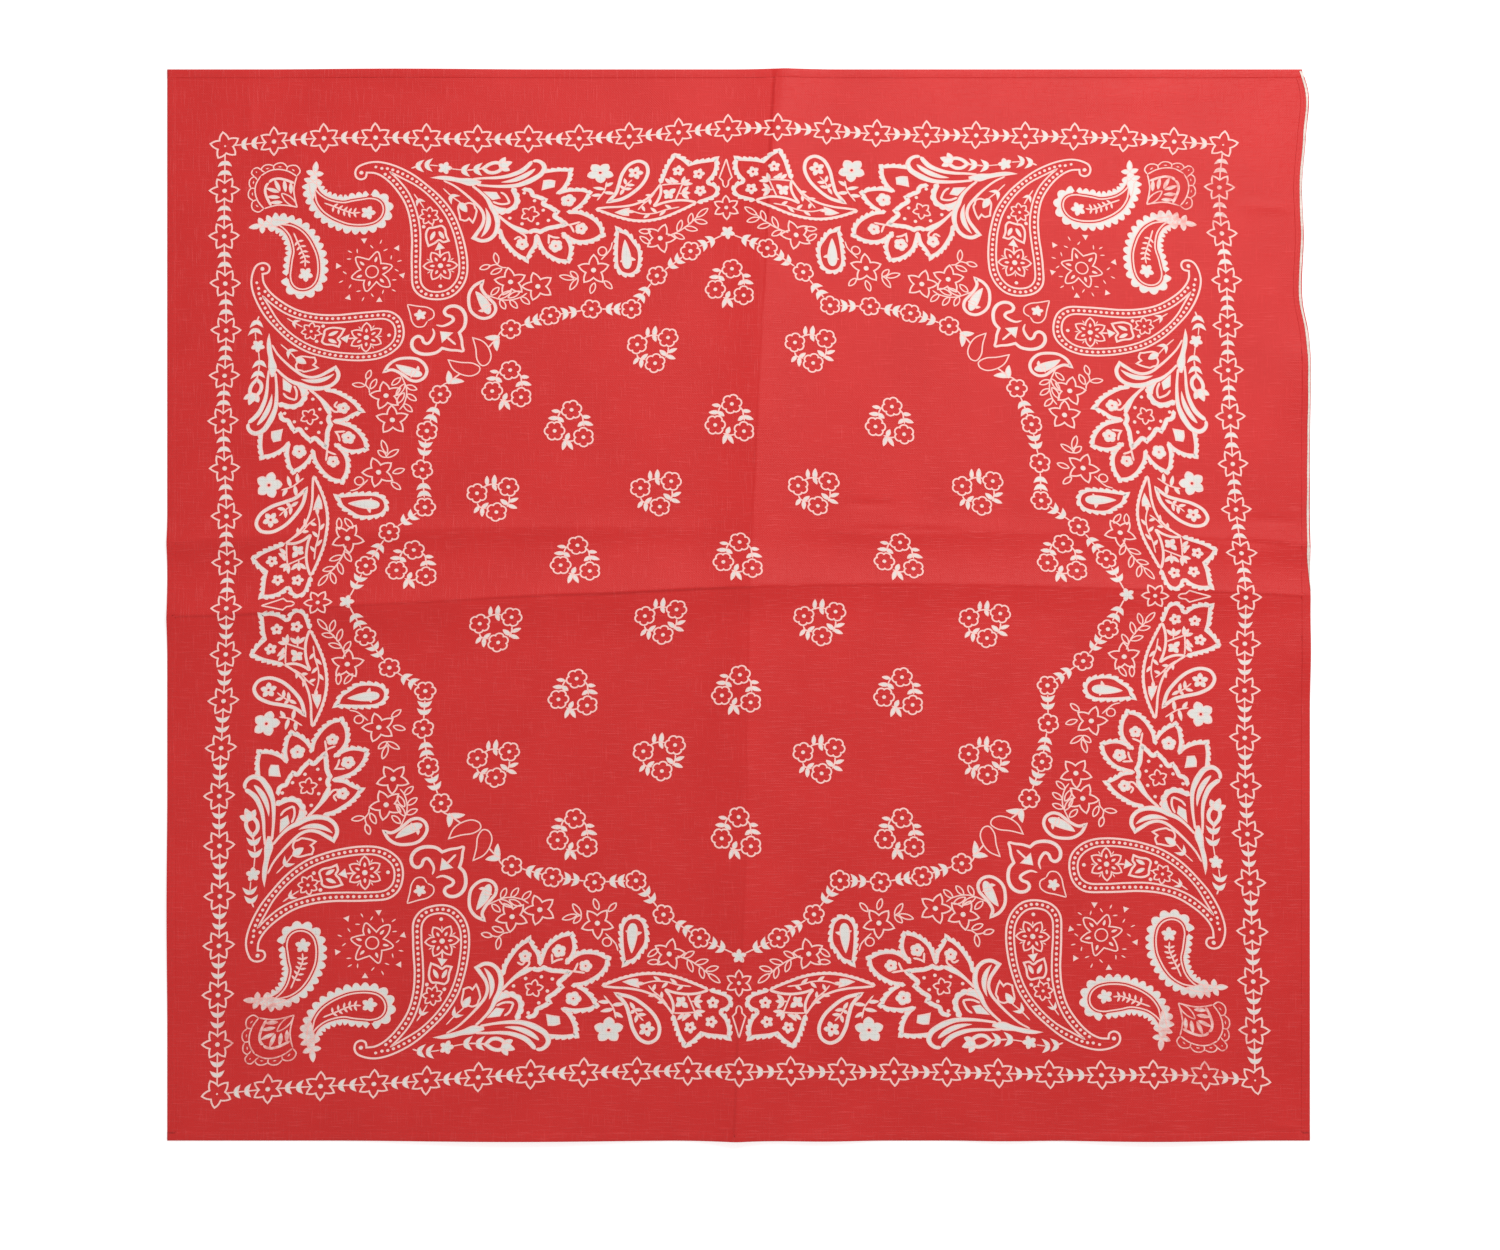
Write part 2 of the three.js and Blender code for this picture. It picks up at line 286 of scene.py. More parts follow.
class Bench:
    """Adds nodes to a tree and links what each is given."""

    def __init__(self, tree):
        self.tree = tree

    def feed(self, socket, value):
        if isinstance(value, bpy.types.NodeSocket):
            self.tree.links.new(value, socket)
        else:
            socket.default_value = value

    def node(self, kind, settings=None, **sockets):
        made = self.tree.nodes.new(kind)
        for label, value in (settings or {}).items():
            setattr(made, label, value)
        for label, value in sockets.items():
            self.feed(made.inputs[label.replace("_", " ")], value)
        return made

    def sum(self, operation, *values):
        made = self.tree.nodes.new("ShaderNodeMath")
        made.operation = operation
        for socket, value in zip(made.inputs, values):
            self.feed(socket, value)
        return made.outputs[0]

    def stretch(self, vector, scale):
        made = self.tree.nodes.new("ShaderNodeVectorMath")
        made.operation = "MULTIPLY"
        self.feed(made.inputs[0], vector)
        made.inputs[1].default_value = scale
        return made.outputs[0]

    def noise(self, vector, detail=2.0):
        made = self.node("ShaderNodeTexNoise", Vector=vector, Scale=1.0, Detail=detail, Roughness=0.5)
        return made.outputs["Fac"]

    def remap(self, value, low, high, to_low=0.0, to_high=1.0):
        made = self.node("ShaderNodeMapRange", {"clamp": True}, Value=value)
        ends = {"From Min": low, "From Max": high, "To Min": to_low, "To Max": to_high}
        for label, number in ends.items():
            made.inputs[label].default_value = number
        return made.outputs[0]

    def mix(self, share, first, second):
        made = self.tree.nodes.new("ShaderNodeMix")
        made.data_type = "RGBA"
        self.feed(made.inputs[0], share)
        self.feed(made.inputs[6], first)
        self.feed(made.inputs[7], second)
        return made.outputs[2]


def cotton_weave():
    """A plain weave: two sets of threads, each a row of rounded ridges that dips under the other set in
    turn, with thicker threads here and there. Puts out the height, the thick threads and slow blotches."""
    group, ends_in, ends_out = new_group(
        "cotton_weave", [("Place", "NodeSocketVector", None), ("Pitch", "NodeSocketFloat", 0.0006)],
        [("Height", "NodeSocketFloat"), ("Slub", "NodeSocketFloat"), ("Blotch", "NodeSocketFloat")])
    b = Bench(group)
    place, pitch = ends_in.outputs["Place"], ends_in.outputs["Pitch"]
    axes = b.node("ShaderNodeSeparateXYZ", Vector=place).outputs
    turn = b.sum("DIVIDE", math.pi, pitch)
    across = b.sum("SINE", b.sum("MULTIPLY", axes["X"], turn))
    up = b.sum("SINE", b.sum("MULTIPLY", axes["Y"], turn))
    basket = b.sum("MULTIPLY", across, up)
    weft = b.noise(b.stretch(place, (90.0, 1500.0, 1.0)))
    warp = b.noise(b.stretch(place, (1500.0, 90.0, 1.0)))
    slub = b.sum("ADD", b.remap(weft, 0.54, 0.72), b.remap(warp, 0.56, 0.74))
    grain = b.noise(b.stretch(place, (900.0, 900.0, 900.0)), detail=3.0)
    height = b.sum("ADD", b.sum("MULTIPLY", basket, 0.35), b.sum("MULTIPLY", slub, 0.9))
    height = b.sum("ADD", height, b.sum("MULTIPLY", grain, 0.5))
    group.links.new(height, ends_out.inputs["Height"])
    group.links.new(slub, ends_out.inputs["Slub"])
    group.links.new(b.noise(b.stretch(place, (28.0, 28.0, 28.0)), detail=3.0), ends_out.inputs["Blotch"])
    return group


WEAVE = cotton_weave()


# The weave in metres: from one thread to the next, and how high a thread stands
THREAD_PITCH = 0.0006
THREAD_HEIGHT = 0.0002


def start_material(name, roughness):
    """A material with its shader, the object's coordinates and a bench to work on."""
    material = bpy.data.materials.new(name)
    material.use_nodes = True
    bench = Bench(material.node_tree)
    shader = material.node_tree.nodes["Principled BSDF"]
    shader.inputs["Roughness"].default_value = roughness
    shader.inputs["Specular IOR Level"].default_value = 0.25
    place = bench.node("ShaderNodeTexCoord").outputs["Object"]
    return material, bench, shader, place


def add_weave(bench, place, strength, pitch=THREAD_PITCH):
    """The weave group in a material, and the bump that its height gives."""
    weave = bench.tree.nodes.new("ShaderNodeGroup")
    weave.node_tree = WEAVE
    bench.feed(weave.inputs["Place"], place)
    weave.inputs["Pitch"].default_value = pitch
    height = weave.outputs["Height"]
    bump = bench.node("ShaderNodeBump", Height=height, Strength=strength, Distance=THREAD_HEIGHT)
    return weave.outputs, bump.outputs["Normal"]


def red_cotton():
    """Dyed plain cotton: a matt red, darker between the threads and lighter on the thick ones."""
    material, b, shader, place = start_material("red_cotton", 0.5)
    weave, normal = add_weave(b, place, 0.55)
    deep, clear = (0.492, 0.011, 0.010, 1), (0.526, 0.014, 0.013, 1)
    ground = b.mix(b.remap(weave["Blotch"], 0.3, 0.7), deep, clear)
    ground = b.mix(b.sum("MULTIPLY", weave["Slub"], 0.36), ground, (0.64, 0.048, 0.048, 1))
    shader.inputs["Specular IOR Level"].default_value = 0.3
    shader.inputs["Sheen Weight"].default_value = 0.05
    shader.inputs["Sheen Roughness"].default_value = 0.45
    b.feed(shader.inputs["Base Color"], ground)
    b.feed(shader.inputs["Normal"], normal)
    return material


# (x, y, reach) in millimetres of the places where the ink was printed thin
THIN_INK = [(226.0, 202.0, 28.0), (-232.0, -212.0, 28.0), (228.0, -212.0, 28.0)]


def white_print():
    """White ink in red cotton: light grey inside a wide shape, warm pink where it thins out at the rim,
    broken a little where the thick red threads come through, and patchy at the thin places."""
    material, b, shader, place = start_material("white_print", 0.8)
    weave, normal = add_weave(b, place, 0.55)
    rim = b.node("ShaderNodeAttribute", {"attribute_name": "rim"}).outputs["Fac"]
    body = b.mix(b.remap(weave["Blotch"], 0.35, 0.65), (0.61, 0.60, 0.57, 1), (0.66, 0.65, 0.62, 1))
    ink = b.mix(b.remap(rim, 0.2, 0.8), (0.84, 0.49, 0.45, 1), body)
    patchy = b.remap(b.noise(b.stretch(place, (450.0, 450.0, 450.0)), detail=3.0), 0.4, 0.6, 0.15, 0.75)
    for x, y, reach in THIN_INK:
        span = b.tree.nodes.new("ShaderNodeVectorMath")
        span.operation = "DISTANCE"
        b.feed(span.inputs[0], place)
        span.inputs[1].default_value = (x * MM, y * MM, 0)
        near = b.remap(span.outputs["Value"], 0.55 * reach * MM, reach * MM, 1.0, 0.0)
        ink = b.mix(b.sum("MULTIPLY", near, patchy), ink, (0.68, 0.20, 0.18, 1))
    worn = b.sum("MULTIPLY", b.remap(weave["Slub"], 0.1, 1.2), 0.12)
    b.feed(shader.inputs["Base Color"], b.mix(worn, ink, (0.60, 0.12, 0.10, 1)))
    b.feed(shader.inputs["Normal"], normal)
    return material


def red_thread():
    """Fine twisted sewing cotton, a shade deeper than the cloth."""
    material, b, shader, place = start_material("red_thread", 0.7)
    twist = b.noise(b.stretch(place, (2600.0, 2600.0, 2600.0)))
    b.feed(shader.inputs["Base Color"], b.mix(twist, (0.36, 0.016, 0.016, 1), (0.56, 0.04, 0.035, 1)))
    bump = b.node("ShaderNodeBump", Height=twist, Strength=0.5, Distance=0.0001)
    b.feed(shader.inputs["Normal"], bump.outputs["Normal"])
    return material


def pale_edge():
    """Undyed cotton at the cut edge, grey pink and uneven."""
    material, b, shader, place = start_material("pale_edge", 0.9)
    weave, normal = add_weave(b, place, 0.8)
    shade = b.noise(b.stretch(place, (300.0, 300.0, 300.0)), detail=3.0)
    ground = b.mix(b.remap(shade, 0.3, 0.7), (0.58, 0.49, 0.44, 1), (0.70, 0.62, 0.56, 1))
    worn = b.sum("MULTIPLY", weave["Slub"], 0.12)
    b.feed(shader.inputs["Base Color"], b.mix(worn, ground, (0.5, 0.1, 0.09, 1)))
    b.feed(shader.inputs["Normal"], normal)
    return material


RED, INK, THREAD, PALE = red_cotton(), white_print(), red_thread(), pale_edge()

# Cloth

# Gaps between the lines of the cloth's grid: far from any crease, near one, and at a pressed line
FAR_GAP = 3.6
NEAR_GAP = 1.5
SECOND_GAP = 0.8
LINE_GAP = 0.5
GAP_GROWTH = 12.0
TRIAL_PLACES = 4001

# (place, reach, gap) of the strips where the grid is finer, for the short creases in them
FINE_COLUMNS = [(-239.0, 3.0, NEAR_GAP), (129.0, 5.0, NEAR_GAP)]
FINE_ROWS = [(49.0, 3.0, NEAR_GAP), (195.0, 4.0, NEAR_GAP), (212.0, 4.0, NEAR_GAP),
             (-256.0, 4.0, NEAR_GAP)]

# How far the grid's lines and the cloth's edge carry a wander in, and the lower skin's share of ridges
WANDER_REACH = 60.0
UNDER_SHARE = 0.5


def grid_lines(low, high, fine_places):
    """Places from low to high, closer together near the named ones: the gap grows with the distance."""
    fine = np.linspace(low, high, TRIAL_PLACES)
    gap = np.full(fine.shape, FAR_GAP)
    for place, reach, near in fine_places:
        share = np.clip((np.abs(fine - place) - reach) / GAP_GROWTH, 0, 1)
        gap = np.minimum(gap, near + (FAR_GAP - near) * share)
    steps = np.concatenate([[0], np.cumsum(np.diff(fine) * (1 / gap[1:] + 1 / gap[:-1]) / 2)])
    return np.interp(np.linspace(0, steps[-1], round(steps[-1]) + 1), steps, fine)


def follow(rows, place, across):
    """Moves the grid's lines so that those near a pressed line run along it: all of its wander at the
    line, and less and less of it on both sides."""
    middle = along(rows, place)[..., 0]
    level = np.mean([row[1] for row in rows])
    return across + (middle - level) * np.clip(1 - np.abs(across - level) / WANDER_REACH, 0, 1)


def pull_in(x, y):
    """Moves points near the right edge in by what that edge wavers, less and less to the inside."""
    share = np.clip((x - HALF_WIDTH + WANDER_REACH) / WANDER_REACH, 0, 1)
    return x - right_inset(y) * share ** 2


def make_cloth():
    """The cloth: an upper and a lower skin on the same grid, closed round the rim. Its height is the
    relief of the folds and waves plus the short creases."""
    side = HALF_WIDTH - HEM_WIDTH + PANEL_TUCK
    end = HALF_LENGTH - HEM_WIDTH + PANEL_TUCK
    upright, cross, second = (np.mean([row[1] for row in rows])
                              for rows in (UPRIGHT_LINE, CROSS_LINE, SECOND_LINE))
    x = grid_lines(-side, side, [(upright, 2, LINE_GAP), (side, 6, NEAR_GAP), (-side, 3, NEAR_GAP),
                                 *FINE_COLUMNS])
    y = grid_lines(-end, end, [(cross, 2, LINE_GAP), (second, 3, SECOND_GAP), (end, 3, NEAR_GAP),
                               *FINE_ROWS])
    gx, gy = np.meshgrid(x, y)
    gx, gy = follow(UPRIGHT_LINE, gy, gx), follow(CROSS_LINE, gx, gy)
    gx = pull_in(gx, gy)
    base, small = relief(gx, gy), rumple(gx, gy)
    below = base + CLOTH_UNDERSIDE + UNDER_SHARE * np.clip(small, 0, None)
    top = np.stack([gx, gy, base + CLOTH_TOP + small], -1).reshape(-1, 3)
    under = np.stack([gx, gy, below], -1).reshape(-1, 3)
    rows, columns = gx.shape
    upper = grid_faces(rows, columns)
    lower = upper[:, ::-1] + len(top)
    number = np.arange(rows * columns).reshape(rows, columns)
    rim = np.concatenate([number[0, :-1], number[:-1, -1], number[-1, :0:-1], number[:0:-1, 0]])
    after = np.roll(rim, -1)
    wall = np.stack([rim, rim + len(top), after + len(top), after], -1)
    faces = np.concatenate([upper, lower, wall])
    cloth = make_piece("bandana_cloth", np.concatenate([top, under]), faces, RED)
    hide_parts("panel")
    return cloth


# (how far in from the edge, height) round a turned hem's section, outer side first
HEM_SECTION = [(0.35, 0.0), (0.0, 0.3), (-0.05, 0.62), (0.1, 0.87), (0.5, 1.01), (1.5, 1.06),
               (2.5, 1.05), (3.2, 1.02), (3.9, 0.97), (4.5, 0.87), (3.1, 0.0), (1.7, 0.0)]
HEM_SHOULDER = 0.85
HEM_STEP = 1.4
HEM_END_GAP = 0.1

# A lockstitch: its pitch, size, place in from the edge and height over the cloth, and how it pulls
STITCH_PITCH = 2.8
STITCH_LENGTH = 2.1
STITCH_WIDTH = 0.42
STITCH_IN = 2.75
STITCH_LIFT = 0.93
STITCH_HEIGHT = 0.18
STITCH_PULL = 0.07
PULL_REACH = 0.9
LAST_STITCH = 4.5
STITCH_ROWS, STITCH_COLUMNS = 7, 5


def edge_point(edge, place, inward):
    """A point near an edge: its place along the edge and its distance in from it."""
    if edge in ("bottom", "top"):
        sign = 1 if edge == "top" else -1
        return pull_in(place, np.full_like(place, sign * HALF_LENGTH)), sign * (HALF_LENGTH - inward)
    sign = 1 if edge == "right" else -1
    inset = right_inset(place) if edge == "right" else 0.0
    return sign * (HALF_WIDTH - inset - inward), place


def make_hem(edge):
    """A turned hem: its section carried along the edge, closed at both ends, with the height of the
    relief at its outer edge and a slight pull at each stitch."""
    reach = HALF_WIDTH if edge in ("bottom", "top") else HALF_LENGTH - HEM_WIDTH - HEM_END_GAP
    place = np.linspace(-reach, reach, round(2 * reach / HEM_STEP) + 1)
    section = np.array(HEM_SECTION)
    s, t = np.meshgrid(place, np.arange(len(section)), indexing="ij")
    inward, up = section[t, 0], section[t, 1]
    near = np.clip(1 - np.abs(inward - STITCH_IN) / PULL_REACH, 0, 1)
    pull = STITCH_PULL * np.cos(2 * np.pi * s / STITCH_PITCH) * near
    outer = relief(*edge_point(edge, s, np.zeros_like(s)))
    x, y = edge_point(edge, s, inward)
    upper = up > HEM_SHOULDER
    z = np.where(upper, relief(x, y) + rumple(x, y), outer) + up - np.where(upper, pull, 0)
    points = np.stack([x, y, z], -1).reshape(-1, 3)
    rows, columns = s.shape
    faces = grid_faces(rows, columns, closed_columns=True)
    ends = []
    for row in (0, rows - 1):
        middle = len(points)
        points = np.concatenate([points, points[row * columns:(row + 1) * columns].mean(0)[None]])
        around = row * columns + np.arange(columns)
        ends.append(np.stack([around, np.roll(around, -1), np.full(columns, middle)], -1))
    hem = make_piece(f"turned_hem_{edge}", points, faces, RED)
    add_faces(hem, np.concatenate(ends))
    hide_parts(f"hem_{edge}")
    return hem


def add_faces(piece, faces):
    """Adds three-cornered faces to a piece and turns all its faces outwards."""
    work = bmesh.new()
    work.from_mesh(piece.data)
    work.verts.ensure_lookup_table()
    for corners in faces.tolist():
        work.faces.new([work.verts[c] for c in corners])
    bmesh.ops.recalc_face_normals(work, faces=work.faces)
    work.to_mesh(piece.data)
    work.free()
    piece.data.polygons.foreach_set("use_smooth", np.ones(len(piece.data.polygons), bool))


def make_stitches():
    """A row of lockstitches on each hem. Each is a low pillow, long along the edge: its height is the
    root of one less the square along it, times one less the square across it."""
    u, v = np.meshgrid(np.linspace(-1, 1, STITCH_ROWS), np.linspace(-1, 1, STITCH_COLUMNS), indexing="ij")
    pillow = np.sqrt(np.clip(1 - u ** 2, 0, 1)) * (1 - v ** 2)
    aside = v * STITCH_WIDTH / 2 * np.sqrt(np.clip(1.1 - u ** 2, 0, 1))
    parts = []
    for edge in ("top", "bottom", "left", "right"):
        reach = (HALF_WIDTH if edge in ("top", "bottom") else HALF_LENGTH) - LAST_STITCH
        place = np.arange(-reach, reach, STITCH_PITCH)[:, None, None] + u * STITCH_LENGTH / 2
        x, y = edge_point(edge, place, STITCH_IN + aside + 0 * place)
        z = relief(x, y) + rumple(x, y) + STITCH_LIFT + STITCH_HEIGHT * pillow
        parts.append(np.stack([x, y, z], -1).reshape(-1, 3))
    points = np.concatenate(parts)
    starts = np.arange(0, len(points), u.size)[:, None, None]
    faces = (starts + grid_faces(STITCH_ROWS, STITCH_COLUMNS)).reshape(-1, 4)
    stitches = make_piece("hem_stitches", points, faces, THREAD)
    face_up(stitches)
    return stitches


def face_up(piece):
    """Turns over each face of an open piece that looks down."""
    work = bmesh.new()
    work.from_mesh(piece.data)
    work.normal_update()
    down = [face for face in work.faces if face.normal.z < 0]
    bmesh.ops.reverse_faces(work, faces=down)
    work.to_mesh(piece.data)
    work.free()


# The pale edge: where it ends and fades out, its grid, its width, its place and height at the rim
PALE_END = 7.0
PALE_FADE = 20.0
PALE_STEP = 0.45
PALE_ROWS = 9
PALE_WIDTH = 1.7
PALE_OUT = 0.22
PALE_FOOT = 0.25
PALE_HEIGHT = 0.98


def make_pale_edge():
    """The undyed rim of the right hem: a quarter round strip over the hem's outer side, beaded along its
    length by three sines, wide at the top and fading out below the cross fold."""
    place = np.arange(PALE_END, HALF_LENGTH - 0.5, PALE_STEP)
    s, t = np.meshgrid(place, np.linspace(0, 1, PALE_ROWS), indexing="ij")
    over = np.sin(np.pi * t / 2)
    bead = 0.05 * np.cos(2 * np.pi * s / 2.1 + 1.4 * np.sin(s / 9)) + 0.07 * np.sin(s / 3.3)
    fade = np.clip((s - PALE_END) / PALE_FADE + 0.15, 0, 1)
    wide = (PALE_WIDTH + bead + 0.15 * np.sin(s / 19)) * fade
    inward = -PALE_OUT + wide * (1 - np.cos(np.pi * t / 2)) + 0.1 * (1 - t)
    up = PALE_FOOT + (PALE_HEIGHT + 0.5 * bead) * over
    outer = relief(*edge_point("right", s, np.zeros_like(s)))
    x, y = edge_point("right", s, inward)
    z = outer + up + rumple(x, y) * over
    points = np.stack([x, y, z], -1).reshape(-1, 3)
    strip = make_piece("pale_edge_strip", points, grid_faces(*s.shape), PALE)
    face_up(strip)
    return strip


# Print

def laid(points):
    """From the print's plane to the cloth: the four measured border lines are joined across by a
    bilinear blend (each point takes the two lines beside it, less the corners counted twice), and moved
    by the pulls near it."""
    u = np.clip((points[:, 0] + BORDER) / STAR_PITCH, -1, STARS_A_SIDE + 1)
    v = np.clip((points[:, 1] + BORDER) / STAR_PITCH, -1, STARS_A_SIDE + 1)
    a, b = (u / STARS_A_SIDE)[:, None], (v / STARS_A_SIDE)[:, None]
    corner = [np.array(row[1:]) for row in (BOTTOM_LINE[0], BOTTOM_LINE[-1], TOP_LINE[0], TOP_LINE[-1])]
    mixed = (1 - b) * beyond(BOTTOM_LINE, u) + b * beyond(TOP_LINE, u)
    mixed += (1 - a) * beyond(LEFT_LINE, v) + a * beyond(RIGHT_LINE, v)
    lower = (1 - a) * corner[0] + a * corner[1]
    upper = (1 - a) * corner[2] + a * corner[3]
    mixed -= (1 - b) * lower + b * upper
    for x, y, right, up, reach in PULLS:
        near = np.exp(-((points[:, 0] - x) ** 2 + (points[:, 1] - y) ** 2) / (2 * reach ** 2))
        mixed += near[:, None] * np.array((right, up))
    return mixed


def beyond(rows, star):
    """A border line at any star number, carried on straight past its two ends."""
    inside = along(rows, star)
    first, last = np.array(rows[0][1:]), np.array(rows[-1][1:])
    run = (last - first) / STARS_A_SIDE
    over = star - np.clip(star, 0, STARS_A_SIDE)
    return inside + over[:, None] * run


# Turns and mirrors of the print's plane as two by two tables: a motif is drawn once, on the left side
# or in the lower left corner, and comes once a side, once a corner, or twice a corner
ONCE = [np.eye(2)]
SIDES = [np.array([(c, -s), (s, c)], float) for c, s in ((1, 0), (0, 1), (-1, 0), (0, -1))]
CORNERS = [np.diag((a, b)) for b in (1.0, -1.0) for a in (1.0, -1.0)]
EIGHTHS = CORNERS + [np.array([(0, a), (b, 0)], float) for a in (1, -1) for b in (1, -1)]
ACROSS_DIAGONAL = np.array([(0, 1), (1, 0)], float)

# Each step between given points counts by this power, which keeps short steps from bulging
STEP_POWER = 0.6

# The least share of its width that a rounded end keeps
ROUND_END = 0.06

layer = itertools.count()


def run_of(line, power=1.0):
    """The distance run at each point of a line, with each step raised to a power."""
    return np.concatenate([[0], np.cumsum(np.hypot(*np.diff(line, axis=0).T) ** power)])


def spaced(points, step=None, count=None):
    """The same line with its points evenly spaced, by a step or to a count."""
    length = run_of(points)
    count = count or max(3, round(length[-1] / step) + 1)
    at = np.linspace(0, length[-1], count)
    return np.stack([np.interp(at, length, points[:, 0]), np.interp(at, length, points[:, 1])], -1)


def smooth_run(points, step):
    """A smooth line through a few points, with its own evenly spaced points."""
    points = np.array(points, float)
    if len(points) < 3:
        return spaced(points, step)
    way = run_of(points, STEP_POWER)
    fine = along(np.column_stack([way, points]), np.linspace(0, way[-1], 16 * len(points)))
    return spaced(fine, step)


def curve(points, closed=False, step=CURVE_STEP):
    """A line through given points: smooth everywhere but at a point whose third value is 1, a
    corner. A closed line comes back without its first point repeated."""
    corner = [len(p) == 3 for p in points]
    points = [tuple(p[:2]) for p in points]
    if closed and not any(corner):
        wrapped = np.array(points[-3:] + points + points[:4], float)
        way = run_of(wrapped, STEP_POWER)
        at = np.linspace(way[3], way[3 + len(points)], 16 * len(points))
        return spaced(along(np.column_stack([way, wrapped]), at), step)[:-1]
    if closed:
        first = corner.index(True)
        points = points[first:] + points[:first + 1]
        corner = corner[first:] + corner[:first + 1]
    corner[0] = corner[-1] = True
    stops = [i for i, sharp in enumerate(corner) if sharp]
    runs = [smooth_run(points[a:b + 1], step) for a, b in zip(stops, stops[1:])]
    line = np.concatenate([run[:-1] for run in runs] + [runs[-1][-1:]])
    return line[:-1] if closed else line


def normals(line, closed):
    """Unit vectors to the left of a line at its points, longer at a bend so that widths stay even."""
    if closed:
        ahead, behind = np.roll(line, -1, 0) - line, line - np.roll(line, 1, 0)
    else:
        step = np.diff(line, axis=0)
        ahead, behind = np.concatenate([step, step[-1:]]), np.concatenate([step[:1], step])
    ahead = ahead / np.maximum(np.hypot(*ahead.T), 1e-9)[:, None]
    behind = behind / np.maximum(np.hypot(*behind.T), 1e-9)[:, None]
    mean = ahead + behind
    size = np.maximum(np.hypot(*mean.T), 0.5)
    left = np.stack([-mean[:, 1], mean[:, 0]], -1) / size[:, None]
    return left * np.minimum(2 / size, 1.6)[:, None]


def leaf_sides(base, tip, width, bend, belly, full):
    """A leaf's spine, bowed to the left by a share of its length, and its half width along it: a sine
    with its widest place at the belly, raised to a power below 1 to fill out."""
    base, tip = np.array(base, float), np.array(tip, float)
    length = max(np.hypot(*(tip - base)), 1e-6)
    count = max(7, round(length / 0.7) + 3)
    t = (1 - np.cos(np.linspace(0, np.pi, count))) / 2
    left = np.array([-(tip - base)[1], (tip - base)[0]]) / length
    spine = base + t[:, None] * (tip - base) + (bend * length * 4 * t * (1 - t))[:, None] * left
    half = width / 2 * np.clip(np.sin(np.pi * t ** (math.log(0.5) / math.log(belly))), 0, 1) ** full
    half[[0, -1]] = 0
    return spine, half


def petal_line(centre, tip, notch, petals, turn, pointed, count):
    """The line round a flower: from notch to tip and back once a petal. Pointed 0 gives round petals,
    the root of a cosine; pointed 1 gives straight sided ones."""
    angle = np.linspace(0, 2 * np.pi, count, endpoint=False)
    share = np.abs((angle * petals / (2 * np.pi) + 0.5) % 1 - 0.5) * 2
    rounded = np.cos(share * np.pi / 2) ** 0.6
    sharp = (1 - share) ** 1.15
    radius = notch + (tip - notch) * ((1 - pointed) * rounded + pointed * sharp)
    way = angle + math.radians(turn)
    return np.array(centre, float) + radius[:, None] * np.stack([np.cos(way), np.sin(way)], -1)


